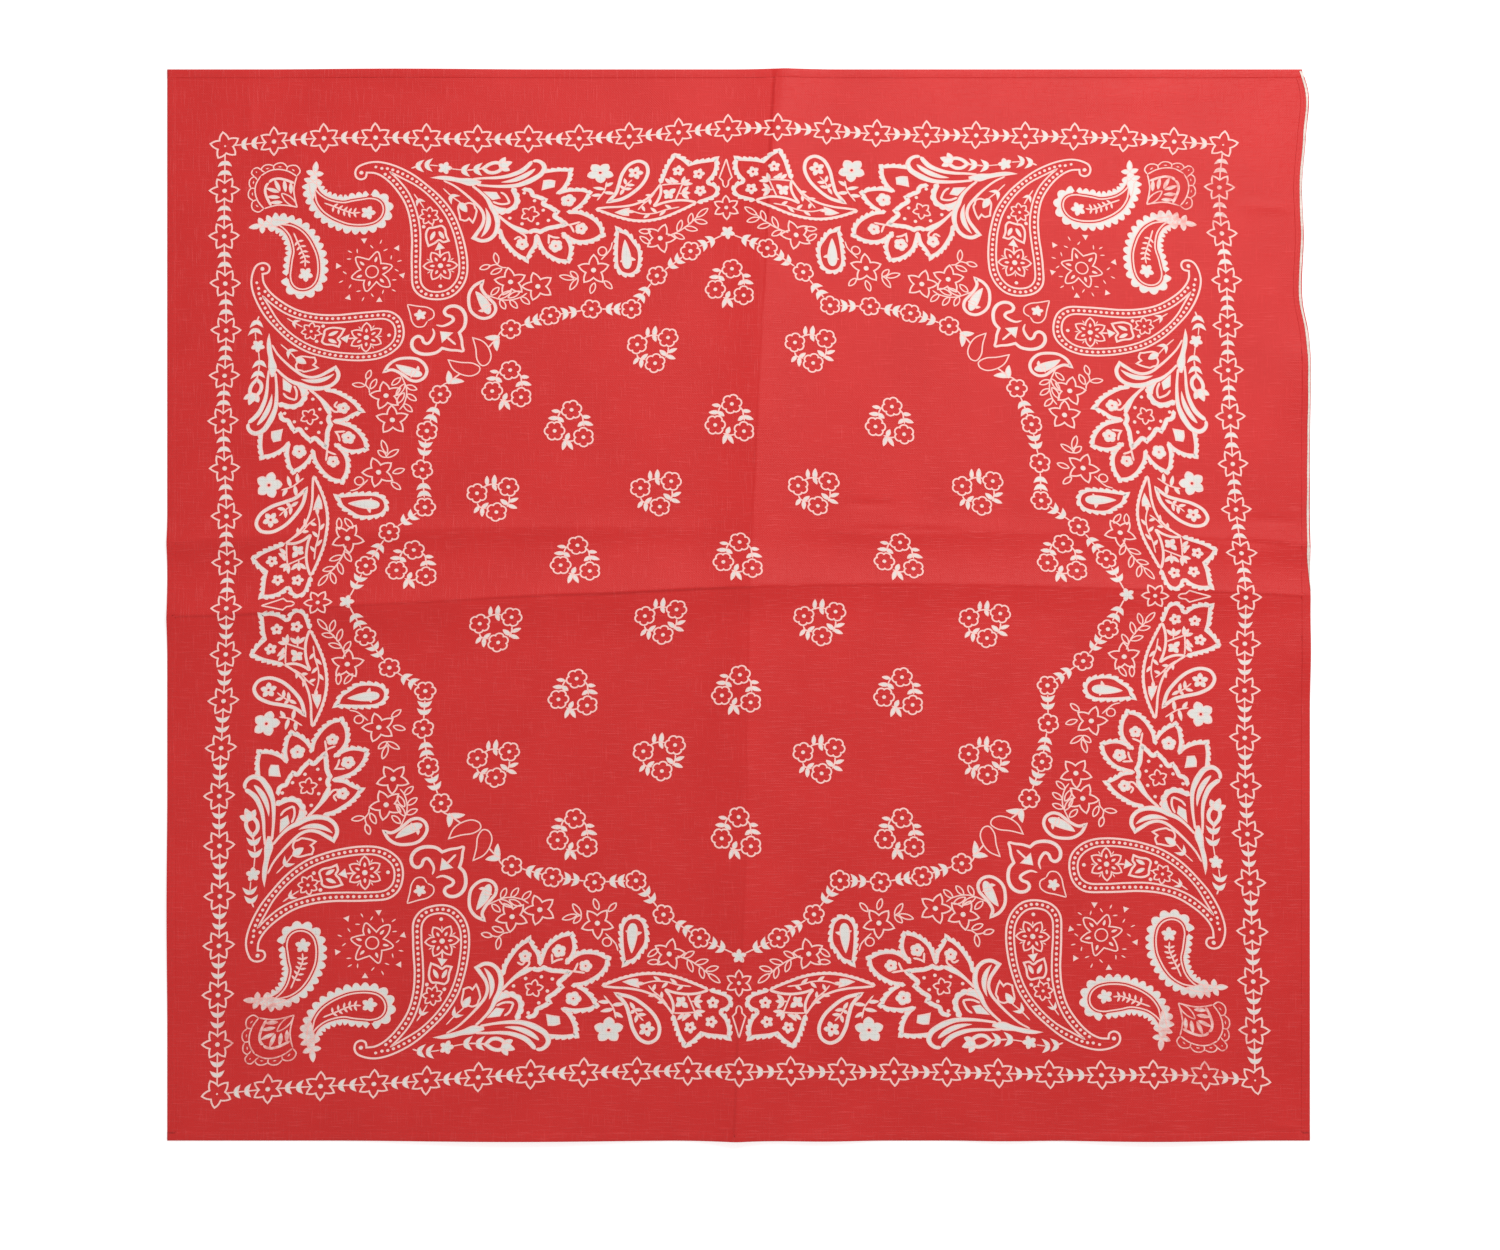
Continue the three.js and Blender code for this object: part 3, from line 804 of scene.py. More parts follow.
class Film:
    """A film of ink: shapes drawn in the print's plane, each a grid of points with its distance in from
    the shape's rim, turned or mirrored into place, laid on the cloth and made one mesh."""

    def __init__(self, name):
        self.name = name
        self.copies = EIGHTHS
        self.points, self.rims, self.lifts, self.faces = [], [], [], []
        self.count = 0

    def add(self, grid, rim, closed=False):
        """Adds a grid of points with its rim distances, once for each turn or mirror."""
        rows, columns = rim.shape
        faces = grid_faces(rows, columns, closed_rows=closed)
        edge = grid[1:, :-1] - grid[:-1, :-1]
        other = grid[:-1, 1:] - grid[:-1, :-1]
        area = (edge[..., 0] * other[..., 1] - edge[..., 1] * other[..., 0]).sum()
        lift = INK_LIFT + LAYER_STEP * (next(layer) % LAYERS)
        for place in self.copies:
            self.points.append(grid.reshape(-1, 2) @ place.T)
            self.rims.append(rim.ravel())
            self.lifts.append(np.full(rim.size, lift))
            looks_down = area * np.linalg.det(place) > 0
            self.faces.append((faces[:, ::-1] if looks_down else faces) + self.count)
            self.count += rim.size

    def band(self, line, left, right, closed=False):
        """A band along a line, from its left width to its right width."""
        side = normals(line, closed)
        left, right = np.broadcast_to(left, len(line)), np.broadcast_to(right, len(line))
        across = np.stack([left, (left - right) / 2, -right], 1)
        grid = line[:, None, :] + across[..., None] * side[:, None, :]
        middle = (left + right) / 2
        self.add(grid, np.stack([0 * middle, middle, 0 * middle], 1), closed)

    def stroke(self, points, width=THIN, closed=False):
        """A line of even width, rounded at its ends."""
        line = curve(points, closed)
        half = np.full(len(line), width / 2)
        if not closed:
            run = run_of(line)
            half *= np.sqrt(np.clip(np.minimum(run, run[-1] - run) / (width / 2), ROUND_END, 1))
        self.band(line, half, half, closed)

    def toothed(self, points, inner, outer, tooth, pitch, side=1, closed=False, scallop=0.0):
        """A broad band whose outer rim has scale-like teeth at an even pitch, or round scallops, blunter
        with a smaller power. Side 1 puts them to the left of the line, side -1 to the right."""
        line = curve(points, closed, step=min(0.45, pitch / 5))
        run = run_of(line)
        total = run[-1] + (np.hypot(*(line[0] - line[-1])) if closed else 0)
        share = run / total * max(1, round(total / pitch))
        wave = np.abs(np.sin(np.pi * share)) ** scallop if scallop else 1 - (share % 1) ** 2
        far = outer + tooth * wave
        near = np.full(len(line), float(inner))
        if not closed:
            ends = np.clip(np.minimum(run, run[-1] - run) / 1.2, 0.1, 1)
            middle = (far - near) / 2
            far, near = middle + (far - middle) * ends, (near + middle) * ends - middle
        self.band(line, *((far, near) if side > 0 else (near, far)), closed)

    def ribbon(self, points, widths):
        """A line whose width runs through a row of evenly spaced values."""
        line = curve(points)
        half = np.interp(np.linspace(0, 1, len(line)), np.linspace(0, 1, len(widths)), widths) / 2
        run = run_of(line)
        half = half * np.sqrt(np.clip(np.minimum(run, run[-1] - run) / half, ROUND_END, 1))
        self.band(line, half, half)

    def between(self, first, second):
        """A solid shape between two lines that run the same way."""
        one, two = curve(first), curve(second)
        count = max(len(one), len(two), 5)
        one, two = spaced(one, count=count), spaced(two, count=count)
        share = np.linspace(0, 1, 5)[None, :, None]
        width = np.hypot(*(two - one).T)[:, None] * np.array([0, 0.25, 0.5, 0.25, 0])
        ends = np.minimum(np.arange(count), np.arange(count)[::-1])[:, None] * CURVE_STEP
        self.add(one[:, None] * (1 - share) + two[:, None] * share, np.minimum(width, ends))

    def leaf(self, base, tip, width, bend=0.0, belly=0.45):
        """A solid leaf or drop."""
        spine, half = leaf_sides(base, tip, width, bend, belly, 0.7)
        side = normals(spine, False)
        across = np.linspace(-1, 1, 5)
        grid = spine[:, None, :] + half[:, None, None] * across[None, :, None] * side[:, None, :]
        self.add(grid, half[:, None] * (1 - np.abs(across)))

    def open_leaf(self, base, tip, width):
        """A leaf or drop drawn as an outline."""
        spine, half = leaf_sides(base, tip, width - FINE, 0.0, 0.5, 0.65)
        side = normals(spine, False)
        left, right = spine + half[:, None] * side, spine - half[:, None] * side
        self.band(np.concatenate([left, right[-2:0:-1]]), FINE / 2, FINE / 2, True)

    def bloom(self, centre, tip, notch, petals, turn=0.0, pointed=0.0, eye=0.0):
        """A solid flower, star or round spot, open in the middle if it has an eye."""
        rim = petal_line(centre, tip, notch, petals, turn, pointed, petals * 8)
        middle = np.array(centre, float)
        out = rim - middle
        reach = np.hypot(*out.T)
        rings = max(3, round(tip / 1.5) + 1)
        share = np.linspace(0, 1, rings)
        start = eye / reach
        share = start[:, None] + (1 - start[:, None]) * share[None, :]
        grid = middle + share[..., None] * out[:, None, :]
        distance = (1 - share) * reach[:, None]
        if eye:
            distance = np.minimum(distance, share * reach[:, None] - eye)
        self.add(grid, distance * 0.8, True)

    def flower(self, centre, tip, notch, petals, turn=0.0, pointed=0.0, line=THIN, eye=1.0):
        """A flower or star drawn as an outline, with a spot in its middle."""
        rim = petal_line(centre, tip, notch, petals, turn, pointed, petals * (8 if pointed else 10))
        self.band(rim, line / 2, line / 2, True)
        if eye:
            self.dot(centre, eye)

    def dot(self, centre, radius):
        """A round spot."""
        angle = np.linspace(0, 2 * np.pi, 10, endpoint=False)
        out = radius * np.stack([np.cos(angle), np.sin(angle)], -1)
        share = np.array([0.0, 0.5, 1.0])
        grid = np.array(centre, float) + share[None, :, None] * out[:, None, :]
        self.add(grid, np.tile(radius * (1 - share), (10, 1)), True)

    def pair(self, joint, direction, wide, high, notch):
        """Two leaves grown together at a joint: a crescent that opens in a direction, notched inside."""
        ahead = np.array(direction, float) / np.hypot(*direction)
        across = np.array([-ahead[1], ahead[0]])
        place = np.linspace(-1, 1, 15)
        far = np.abs(place)
        low, top = high * far ** 3, notch + (high - notch) * far ** 1.2
        up = np.stack([low, (low + top) / 2, top], 1)[..., None] * ahead
        rim = np.stack([0 * far, (top - low) / 2, 0 * far], 1)
        self.add(np.array(joint, float) + (place * wide / 2)[:, None, None] * across + up, rim)

    def twice(self, draw):
        """Draws a half motif and its mirror across the corner's diagonal."""
        kept = self.copies
        draw(self)
        self.copies = [place @ ACROSS_DIAGONAL for place in kept]
        draw(self)
        self.copies = kept

    def make(self, material, slot):
        """Lays the shapes on the cloth as one piece."""
        flat = laid(np.concatenate(self.points))
        height = cloth_top(flat[:, 0], flat[:, 1]) + np.concatenate(self.lifts)
        points = np.column_stack([flat, height])
        faces = np.concatenate(self.faces)
        one, other = flat[faces[:, 2]] - flat[faces[:, 0]], flat[faces[:, 3]] - flat[faces[:, 1]]
        faces = faces[one[:, 0] * other[:, 1] - one[:, 1] * other[:, 0] > FOLDED_AREA]
        rims = {"rim": np.concatenate(self.rims)}
        piece = make_piece(self.name, points, faces, material, rims, weld=INK_WELD)
        return piece


def star_border():
    """The line of open stars round the cloth, with two pairs of leaves between neighbours."""
    film = Film("print_star_border")
    for number in range(0, 11):
        film.copies = SIDES if number == 0 else CORNERS if number == 10 else EIGHTHS
        spot = (-BORDER, -number * STAR_PITCH)
        if number == 10:
            film.flower(spot, 7.0, 3.8, 5, 45, 1.0, line=0.84, eye=0.5)
        else:
            film.flower(spot, 7.0, 4.0, 6, 0, 1.0, line=0.84, eye=1.15)
    film.copies = EIGHTHS
    for number in range(0, 10):
        near, far = -number * STAR_PITCH, -(number + 1) * STAR_PITCH
        film.stroke([(-BORDER, near - 4.2), (-BORDER, far + 4.2)], 0.68)
        for share in (0.46, 0.67):
            film.pair((-BORDER, near - share * STAR_PITCH), (0, 1), 6.9, 3.3, 2.2)
    return film


# (distance out from the middle, distance along the side) of the chain's flowers, from the side's middle
CHAIN = [(180.8, 0.0), (172.5, 18.3), (161.2, 34.9), (144.7, 47.4), (145.2, 66.4), (142.2, 85.7),
         (135.9, 104.0)]


def flower_chain():
    """The chain of open flowers round the middle field, with two pairs of leaves on each link."""
    film = Film("print_flower_chain")
    spots = [np.array((-out, -way)) for out, way in CHAIN]
    for number, spot in enumerate(spots[1:], 1):
        film.flower(spot, 4.7, 3.6, 6, 20 * number, 0.0, line=0.8, eye=1.05)
        start, run = spots[number - 1], spot - spots[number - 1]
        length = np.hypot(*run)
        ahead = run / length
        away = 1 if number % 2 else -1
        film.stroke([start + ahead * (3.0 if number == 1 else 4.7), spot - ahead * 4.7], 0.7)
        for share in (0.40, 0.60):
            joint = start + ahead * (length * share - 0.8 * away)
            film.pair(joint, ahead * away, 6.8, 3.5, 2.5)
    end = spots[-1]
    film.stroke([end + (0.8, -4.6), (-131.9, -110.2)], 0.7)
    film.leaf((-133.0, -110.0), (-124.9, -110.1), 3.0, -0.06, 0.42)
    film.leaf((-132.2, -109.0), (-132.4, -116.0), 3.0, 0.06, 0.42)
    film.stroke([(-131.6, -110.4), (-126.7, -114.4)], 0.8)
    film.stroke([(-132.5, -121.5, 1), (-130.2, -116.7), (-126.4, -113.9), (-121.7, -112.9), (-118.4, -114.6),
                 (-117.9, -116.9), (-121.0, -119.2), (-126.8, -120.0)], 0.65, closed=True)
    return film


# (x, y) of the wreaths' middles in the field: one kind has a flower at the top, the other at the foot
UPRIGHT_WREATHS = [(0.2, 154.2), (-76.0, 86.0), (-0.2, 85.3), (75.5, 85.8), (-151.5, 17.5), (-76.0, 16.8),
                   (-0.2, 14.9), (75.1, 16.3), (152.1, 17.5), (-75.9, -52.3), (0.1, -53.1), (75.5, -53.0),
                   (-75.7, -122.2), (0.0, -122.8), (76.2, -122.3), (-104.8, 107.0)]
TURNED_WREATHS = [(-36.6, 123.7), (38.5, 122.2), (-112.8, 51.4), (-36.5, 51.0), (37.9, 49.9),
                  (115.5, 51.5), (-112.7, -16.6), (-36.4, -15.9), (37.8, -17.8), (115.0, -16.8),
                  (-112.1, -85.0), (-35.3, -84.6), (38.9, -86.1), (116.0, -85.0)]

# (x, y, turn) of each kind's flowers, (base, tip, width) of its leaves, and its stems
UPRIGHT_FLOWERS = [(0.97, 8.0, 13), (-7.2, -2.2, 0), (6.2, -5.8, 30)]
UPRIGHT_LEAVES = [((-4.4, 7.3), (-8.5, 7.9), 2.0), ((-5.0, 4.0), (-10.1, 4.2), 2.3),
                  ((-5.8, 4.4), (-2.7, 2.0), 2.4), ((5.8, 4.5), (9.9, 4.0), 2.1),
                  ((5.8, 1.9), (11.0, 0.0), 2.3), ((6.6, 1.9), (3.6, -0.5), 2.2),
                  ((-2.0, -7.1), (-0.4, -3.4), 2.4),
                  ((-2.0, -6.6), (-3.9, -12.0), 2.3), ((-1.6, -7.0), (1.0, -12.0), 2.2)]
UPRIGHT_STEMS = [[(-3.4, 7.9), (-4.6, 6.6), (-5.6, 4.2)], [(4.6, 6.5), (6.0, 4.6), (6.3, 1.8), (6.7, -0.6)],
                 [(-3.6, -6.6), (-2.2, -7.0), (-0.4, -7.6), (2.0, -7.3)]]
TURNED_FLOWERS = [(0.9, -7.6, 20), (-7.8, 2.5, 23), (6.9, 5.1, 50)]
TURNED_LEAVES = [((-3.0, 6.2), (-2.8, 11.2), 2.1), ((0.2, 6.0), (0.8, 11.6), 2.5),
                 ((-0.3, 7.2), (1.2, 3.4), 2.1), ((6.8, -2.6), (11.4, -0.8), 2.1),
                 ((6.0, -4.0), (10.7, -6.1), 2.2), ((6.4, -4.2), (2.9, -1.0), 2.4),
                 ((-7.0, -4.2), (-9.5, -7.7), 2.1), ((-5.6, -4.8), (-5.8, -9.8), 2.2),
                 ((-6.0, -5.4), (-2.6, -2.6), 2.1)]
TURNED_STEMS = [[(-4.6, 5.5), (-3.0, 6.3), (-1.1, 6.8), (2.4, 6.5)], [(7.1, 0.4), (7.1, -1.8), (5.9, -5.2)],
                [(-7.9, -2.4), (-7.2, -4.3), (-5.6, -5.1), (-3.6, -5.4)]]


def wreaths():
    """The small wreaths of three flowers and three sprigs that fill the field in offset rows."""
    film = Film("print_wreaths")
    film.copies = ONCE
    for places, flowers, leaves, stems in (
            (UPRIGHT_WREATHS, UPRIGHT_FLOWERS, UPRIGHT_LEAVES, UPRIGHT_STEMS),
            (TURNED_WREATHS, TURNED_FLOWERS, TURNED_LEAVES, TURNED_STEMS)):
        for middle in np.array(places):
            for x, y, turn in flowers:
                film.flower(middle + (x, y), 4.7, 3.75, 6, turn, eye=0.95)
            for base, tip, width in leaves:
                film.leaf(middle + base, middle + tip, width)
            for stem in stems:
                film.stroke([tuple(middle + point) for point in stem], 0.75)
    return film


def five_petals(film, centre, radius, turn, eye):
    """A solid flower of five blunt petals with a small bare eye."""
    film.bloom(centre, radius, radius * 0.64, 5, turn, 0.5, eye=eye)


def open_star(film, centre, turn):
    """An open star flower of five points with a round middle."""
    film.flower(centre, 7.4, 7.4 * 0.51, 5, turn, 1.0, eye=1.25)


def butterfly_leaves():
    """The butterfly-shaped leaf with toothed lobes by the side's middle, and the horn below it."""
    film = Film("print_butterfly_leaves")
    film.toothed([(-207.5, -9.6, 1), (-211.8, -6.0), (-216.2, -4.7), (-220.1, -4.9, 1), (-219.7, -9.5),
                  (-219.3, -13.9), (-218.4, -17.8, 1), (-221.8, -21.0), (-224.5, -24.8, 1), (-219.6, -27.8),
                  (-213.4, -30.0), (-208.8, -31.6)], 0.9, 0.75, 1.05, 2.9, side=-1)
    film.toothed([(-207.5, -9.6, 1), (-206.0, -5.7), (-203.6, -4.1), (-200.6, -5.5), (-198.8, -9.8),
                  (-197.6, -14.2)], 0.8, 0.7, 1.0, 2.9)
    film.stroke([(-197.6, -14.2), (-198.9, -18.5), (-199.4, -23.3), (-199.0, -27.9), (-198.1, -31.7),
                 (-196.6, -35.4)], 1.3)
    film.stroke([(-208.8, -31.6), (-204.3, -31.4), (-200.1, -32.9), (-196.6, -35.4)], 1.4)
    film.stroke([(-208.3, -20.7), (-208.5, -26.1), (-208.3, -31.2)], 0.8)
    film.stroke([(-208.3, -20.7), (-203.7, -22.6), (-199.5, -24.4)], 0.8)
    for spot, turn in (((-212.9, -13.0), 90), ((-203.7, -12.2), 70), ((-215.6, -23.0), 100)):
        five_petals(film, spot, 3.1, turn, 0.6)
    for base, tip in (((-208.1, -21.2), (-207.8, -15.8)), ((-208.0, -20.9), (-212.3, -19.7)),
                      ((-208.0, -20.9), (-210.2, -17.2)), ((-203.1, -21.1), (-206.6, -17.8)),
                      ((-203.0, -21.1), (-199.6, -17.8)), ((-203.1, -21.4), (-202.9, -17.0)),
                      ((-208.6, -24.0), (-212.4, -27.0)), ((-208.8, -26.2), (-211.8, -29.4)),
                      ((-210.4, -26.8), (-209.3, -22.6))):
        film.leaf(base, tip, 2.1)
    film.stroke([(-203.1, -20.4), (-202.9, -22.7)], 0.8)
    for tip in ((-205.8, -24.2), (-200.5, -26.1), (-205.1, -30.3), (-200.7, -29.6)):
        film.leaf((-203.3, -27.3), tip, 2.8)
    film.toothed([(-197.4, -14.2), (-193.8, -22.6), (-190.7, -31.1), (-189.2, -39.4), (-189.3, -46.8),
                  (-190.9, -54.4), (-194.6, -64.3)], 0.6, 0.6, 0.4, 2.6, scallop=0.8)
    film.stroke([(-208.8, -31.6), (-204.2, -35.0), (-199.9, -39.9), (-197.3, -45.5), (-195.8, -52.2),
                 (-195.3, -58.9), (-194.8, -63.9)], 1.15)
    film.stroke([(-195.8, -22.5), (-194.8, -29.0), (-193.1, -34.7), (-192.7, -41.1), (-193.9, -46.6)], 0.7)
    film.stroke([(-204.6, -34.1), (-200.8, -37.0), (-197.4, -40.9), (-194.5, -43.3)], 0.7)
    for base, tip in (((-195.2, -26.4), (-197.3, -29.6)), ((-194.8, -29.2), (-191.6, -32.6)),
                      ((-193.4, -33.8), (-196.0, -36.9)), ((-192.8, -37.2), (-190.4, -40.6)),
                      ((-202.4, -35.6), (-202.9, -39.2)), ((-200.9, -37.0), (-197.6, -37.0)),
                      ((-199.0, -39.0), (-199.6, -43.6)), ((-197.0, -41.2), (-194.0, -39.8))):
        film.leaf(base, tip, 1.7)
    film.between([(-195.7, -47.4), (-194.6, -51.0), (-192.8, -55.0)],
                 [(-191.2, -47.8), (-191.3, -51.0), (-192.6, -55.0)])
    film.leaf((-193.6, -49.0), (-193.6, -44.8), 1.8)
    return film


def axis_motifs():
    """What lies on the middle line of each side: the spindle, the small star and the apex stems."""
    film = Film("print_side_middles")
    film.copies = SIDES
    for side in (1, -1):
        film.stroke([(-220.4, 0.0), (-214.3, 1.7 * side), (-210.1, 3.0 * side, 1), (-208.3, 1.4 * side, 1),
                     (-205.9, 1.1 * side), (-204.6, 0.0)], 0.75)
    film.flower((-194.0, 0.0), 6.2, 3.3, 6, 0, 0.8)
    film.bloom((-181.0, 0.0), 3.6, 1.9, 5, 0, 0.5)
    return film


def teardrops():
    """The teardrop paisley with a flower in its head, the big flower below it and a four-leaf sprig."""
    film = Film("print_teardrops")
    film.stroke([(-215.8, -37.8), (-220.6, -38.9), (-222.6, -42.4), (-220.9, -46.7), (-215.4, -50.3),
                 (-208.5, -52.3), (-203.5, -53.9), (-198.3, -58.0, 1), (-200.2, -51.0), (-204.4, -45.0),
                 (-209.8, -40.1)], 1.8, closed=True)
    film.bloom((-215.7, -44.0), 4.0, 2.2, 5, 90, 0.5, eye=0.6)
    film.stroke([(-211.6, -45.6), (-208.1, -48.7), (-203.0, -51.3)], 0.7)
    for base, tip in (((-208.4, -48.6), (-208.5, -44.4)), ((-208.6, -48.7), (-212.4, -49.4)),
                      ((-205.9, -49.8), (-202.3, -52.0)), ((-205.8, -50.0), (-206.4, -45.8)),
                      ((-206.0, -49.8), (-208.0, -51.8))):
        film.leaf(base, tip, 1.8)
    five_petals(film, (-216.0, -61.0), 6.6, 72, 0.7)
    film.stroke([(-210.2, -58.1), (-204.8, -59.5), (-199.2, -63.3)], 0.75)
    for base, tip in (((-207.3, -59.0), (-209.7, -55.0)), ((-203.7, -59.8), (-203.1, -54.4)),
                      ((-205.6, -59.2), (-206.9, -64.9)), ((-202.3, -60.8), (-202.2, -65.9))):
        film.leaf(base, tip, 2.0)
    return film


def star_sprays():
    """The thin sprays of open leaves and open star flowers between the lotus and the flower chain."""
    film = Film("print_star_sprays")
    stems = [[(-190.4, -13.6), (-187.4, -17.0), (-183.8, -22.0), (-182.1, -25.8), (-181.0, -29.0)],
             [(-178.4, -56.2), (-175.2, -57.0), (-172.6, -59.0), (-169.9, -61.7)],
             [(-168.0, -105.2), (-168.3, -107.7), (-169.8, -110.0), (-168.9, -114.0)],
             [(-154.5, -96.3), (-152.5, -99.1), (-151.2, -103.8), (-151.3, -107.8), (-152.5, -111.2),
              (-154.3, -115.3)]]
    for stem in stems:
        film.stroke(stem, 0.65)
    leaves = [((-189.8, -14.3), (-193.9, -8.9)), ((-188.1, -15.3), (-186.4, -9.6)),
              ((-186.5, -18.0), (-191.9, -16.7)), ((-184.9, -20.5), (-183.1, -14.4)),
              ((-183.1, -23.9), (-188.7, -21.8)), ((-181.9, -25.8), (-179.1, -20.9)),
              ((-183.6, -37.3), (-183.8, -42.9)), ((-177.6, -37.7), (-181.0, -42.6)),
              ((-159.4, -60.1), (-155.5, -56.6)), ((-158.5, -64.8), (-153.3, -66.6)),
              ((-161.2, -72.6), (-164.7, -75.9)), ((-161.0, -72.6), (-155.5, -76.3)),
              ((-160.8, -74.6), (-162.7, -81.0)), ((-170.2, -109.6), (-175.8, -110.5)),
              ((-167.5, -107.8), (-165.1, -112.8)), ((-169.4, -113.0), (-167.9, -117.8)),
              ((-152.4, -99.3), (-148.7, -95.4)), ((-151.0, -104.3), (-146.8, -101.1)),
              ((-151.3, -108.8), (-146.6, -106.7)), ((-152.3, -105.1), (-155.4, -99.7)),
              ((-152.0, -109.7), (-155.8, -103.8)), ((-154.1, -113.0), (-157.8, -109.4))]
    for base, tip in leaves:
        film.open_leaf(base, tip, 3.0)
    for centre, turn in (((-180.1, -32.6), 86), ((-165.0, -65.2), 107), ((-157.7, -91.3), 124),
                         ((-160.5, -103.9), 115)):
        open_star(film, centre, turn)
    film.flower((-174.0, -61.0), 2.0, 2.0, 6, 0, 0.0, line=0.65, eye=0)
    film.toothed([(-183.9, -53.6, 1), (-182.2, -48.9), (-178.6, -45.9), (-174.9, -43.5), (-169.5, -43.1),
                  (-164.5, -44.5), (-162.4, -47.6), (-163.3, -51.7), (-166.6, -53.9), (-171.6, -54.3),
                  (-178.2, -54.1)], 0.8, 0.6, 1.1, 3.1, closed=True)
    film.leaf((-165.2, -49.0), (-179.5, -50.1), 4.9, 0.0, 0.32)
    film.leaf((-170.5, -48.4), (-169.6, -44.9), 2.0, belly=0.3)
    film.leaf((-169.9, -49.6), (-168.8, -52.6), 2.0, belly=0.3)
    return film


def lotus():
    """The big open lotus: toothed pointed petals round a stepped cup, with solid shapes in the petals
    and a dotted arch, a hook and a solid tear at its foot."""
    film = Film("print_lotus")
    petals = [[(-218.0, -89.0), (-218.6, -86.9), (-219.0, -83.7), (-219.2, -80.1), (-218.6, -75.1, 1),
               (-214.6, -75.4), (-210.5, -76.9), (-207.2, -79.1), (-205.3, -81.7)],
              [(-205.3, -81.7), (-206.5, -76.3), (-206.2, -72.0), (-205.4, -68.7), (-203.9, -66.7, 1),
               (-200.1, -68.6), (-196.7, -71.7), (-194.4, -75.4)],
              [(-194.4, -77.4), (-193.6, -71.9), (-191.7, -68.0), (-189.2, -64.6), (-185.7, -61.9),
               (-181.8, -61.0, 1), (-179.6, -64.9), (-178.8, -69.1), (-179.2, -72.8), (-181.1, -76.3),
               (-184.3, -79.8)],
              [(-184.3, -79.8), (-180.7, -77.0), (-177.0, -75.7), (-173.3, -75.9), (-169.8, -77.0, 1),
               (-170.6, -81.1), (-172.8, -85.0), (-176.1, -88.1), (-180.5, -89.9), (-184.9, -91.1)],
              [(-184.9, -91.2), (-181.9, -91.4), (-179.0, -92.0), (-175.6, -94.1), (-171.9, -95.9, 1),
               (-173.7, -99.1), (-176.4, -102.0), (-180.3, -104.8), (-184.0, -106.8), (-188.9, -107.9)]]
    for points in petals:
        film.toothed(points, 0.95, 0.7, 0.95, 2.8)
    film.between([(-213.8, -87.4), (-213.9, -84.2), (-213.0, -81.8)],
                 [(-208.0, -88.3), (-208.8, -84.9), (-209.2, -82.3)])
    for x, y, radius, turn in ((-200.8, -76.4, 3.6, 20), (-185.3, -70.8, 3.0, 90), (-177.9, -82.5, 3.3, 60),
                               (-179.9, -97.8, 3.1, 0)):
        film.bloom((x, y), radius, radius * 0.8, 5, turn, 0.3, eye=0.4)
    for points in ([(-188.6, -71.1), (-188.1, -74.1), (-187.6, -77.1)],
                   [(-188.0, -76.1), (-186.4, -75.2), (-183.7, -74.1)],
                   [(-181.8, -80.6), (-182.4, -83.5), (-183.5, -85.5, 1), (-179.1, -85.7)],
                   [(-186.4, -99.0), (-183.8, -96.0), (-181.5, -96.0)],
                   [(-181.9, -97.6), (-183.8, -99.1), (-182.5, -101.5)]):
        film.stroke(points, 1.0)
    film.toothed([(-209.1, -97.4), (-208.8, -94.2), (-207.5, -92.7, 1), (-205.8, -92.4), (-204.2, -89.3),
                  (-202.6, -86.8, 1), (-200.5, -87.6), (-198.3, -84.7), (-195.3, -81.5, 1), (-193.3, -82.7),
                  (-190.9, -80.4), (-188.2, -77.7, 1), (-187.6, -82.1), (-187.2, -85.9), (-185.8, -89.4, 1),
                  (-186.7, -91.9), (-185.6, -95.1)], 1.1, 1.0, 0.25, 2.6, scallop=0.8)
    film.ribbon([(-185.8, -94.2), (-187.3, -98.4), (-189.6, -102.1), (-192.4, -105.3), (-195.8, -108.6)],
                [1.8, 3.0, 2.0, 1.4, 1.4])
    film.flower((-195.6, -93.8), 4.2, 2.35, 5, 82, 0.7, line=0.72, eye=0)
    for spot in ((-197.0, -87.7), (-191.3, -85.5), (-190.1, -90.4), (-190.6, -97.5), (-193.9, -103.0),
                 (-202.6, -91.5), (-207.2, -96.2)):
        film.dot(spot, 0.85)
    film.toothed([(-210.4, -102.0), (-207.8, -100.8), (-204.9, -99.8), (-202.3, -99.8), (-200.1, -100.9),
                  (-198.4, -103.3), (-197.7, -105.6), (-197.2, -108.4)], 1.1, 1.1, 0.7, 3.0, scallop=0.8)
    film.between([(-199.4, -104.6), (-199.9, -107.4), (-202.4, -112.2)],
                 [(-197.4, -105.0), (-196.4, -108.4), (-200.6, -111.6)])
    film.stroke([(-208.1, -107.2), (-206.5, -105.0), (-203.9, -103.6), (-202.2, -103.2), (-201.6, -105.0),
                 (-201.7, -107.7), (-203.0, -110.9)], 1.1)
    film.between([(-208.6, -115.4), (-208.4, -111.9), (-208.2, -109.0)],
                 [(-203.8, -111.0), (-204.2, -109.1), (-204.6, -107.0)])
    return film


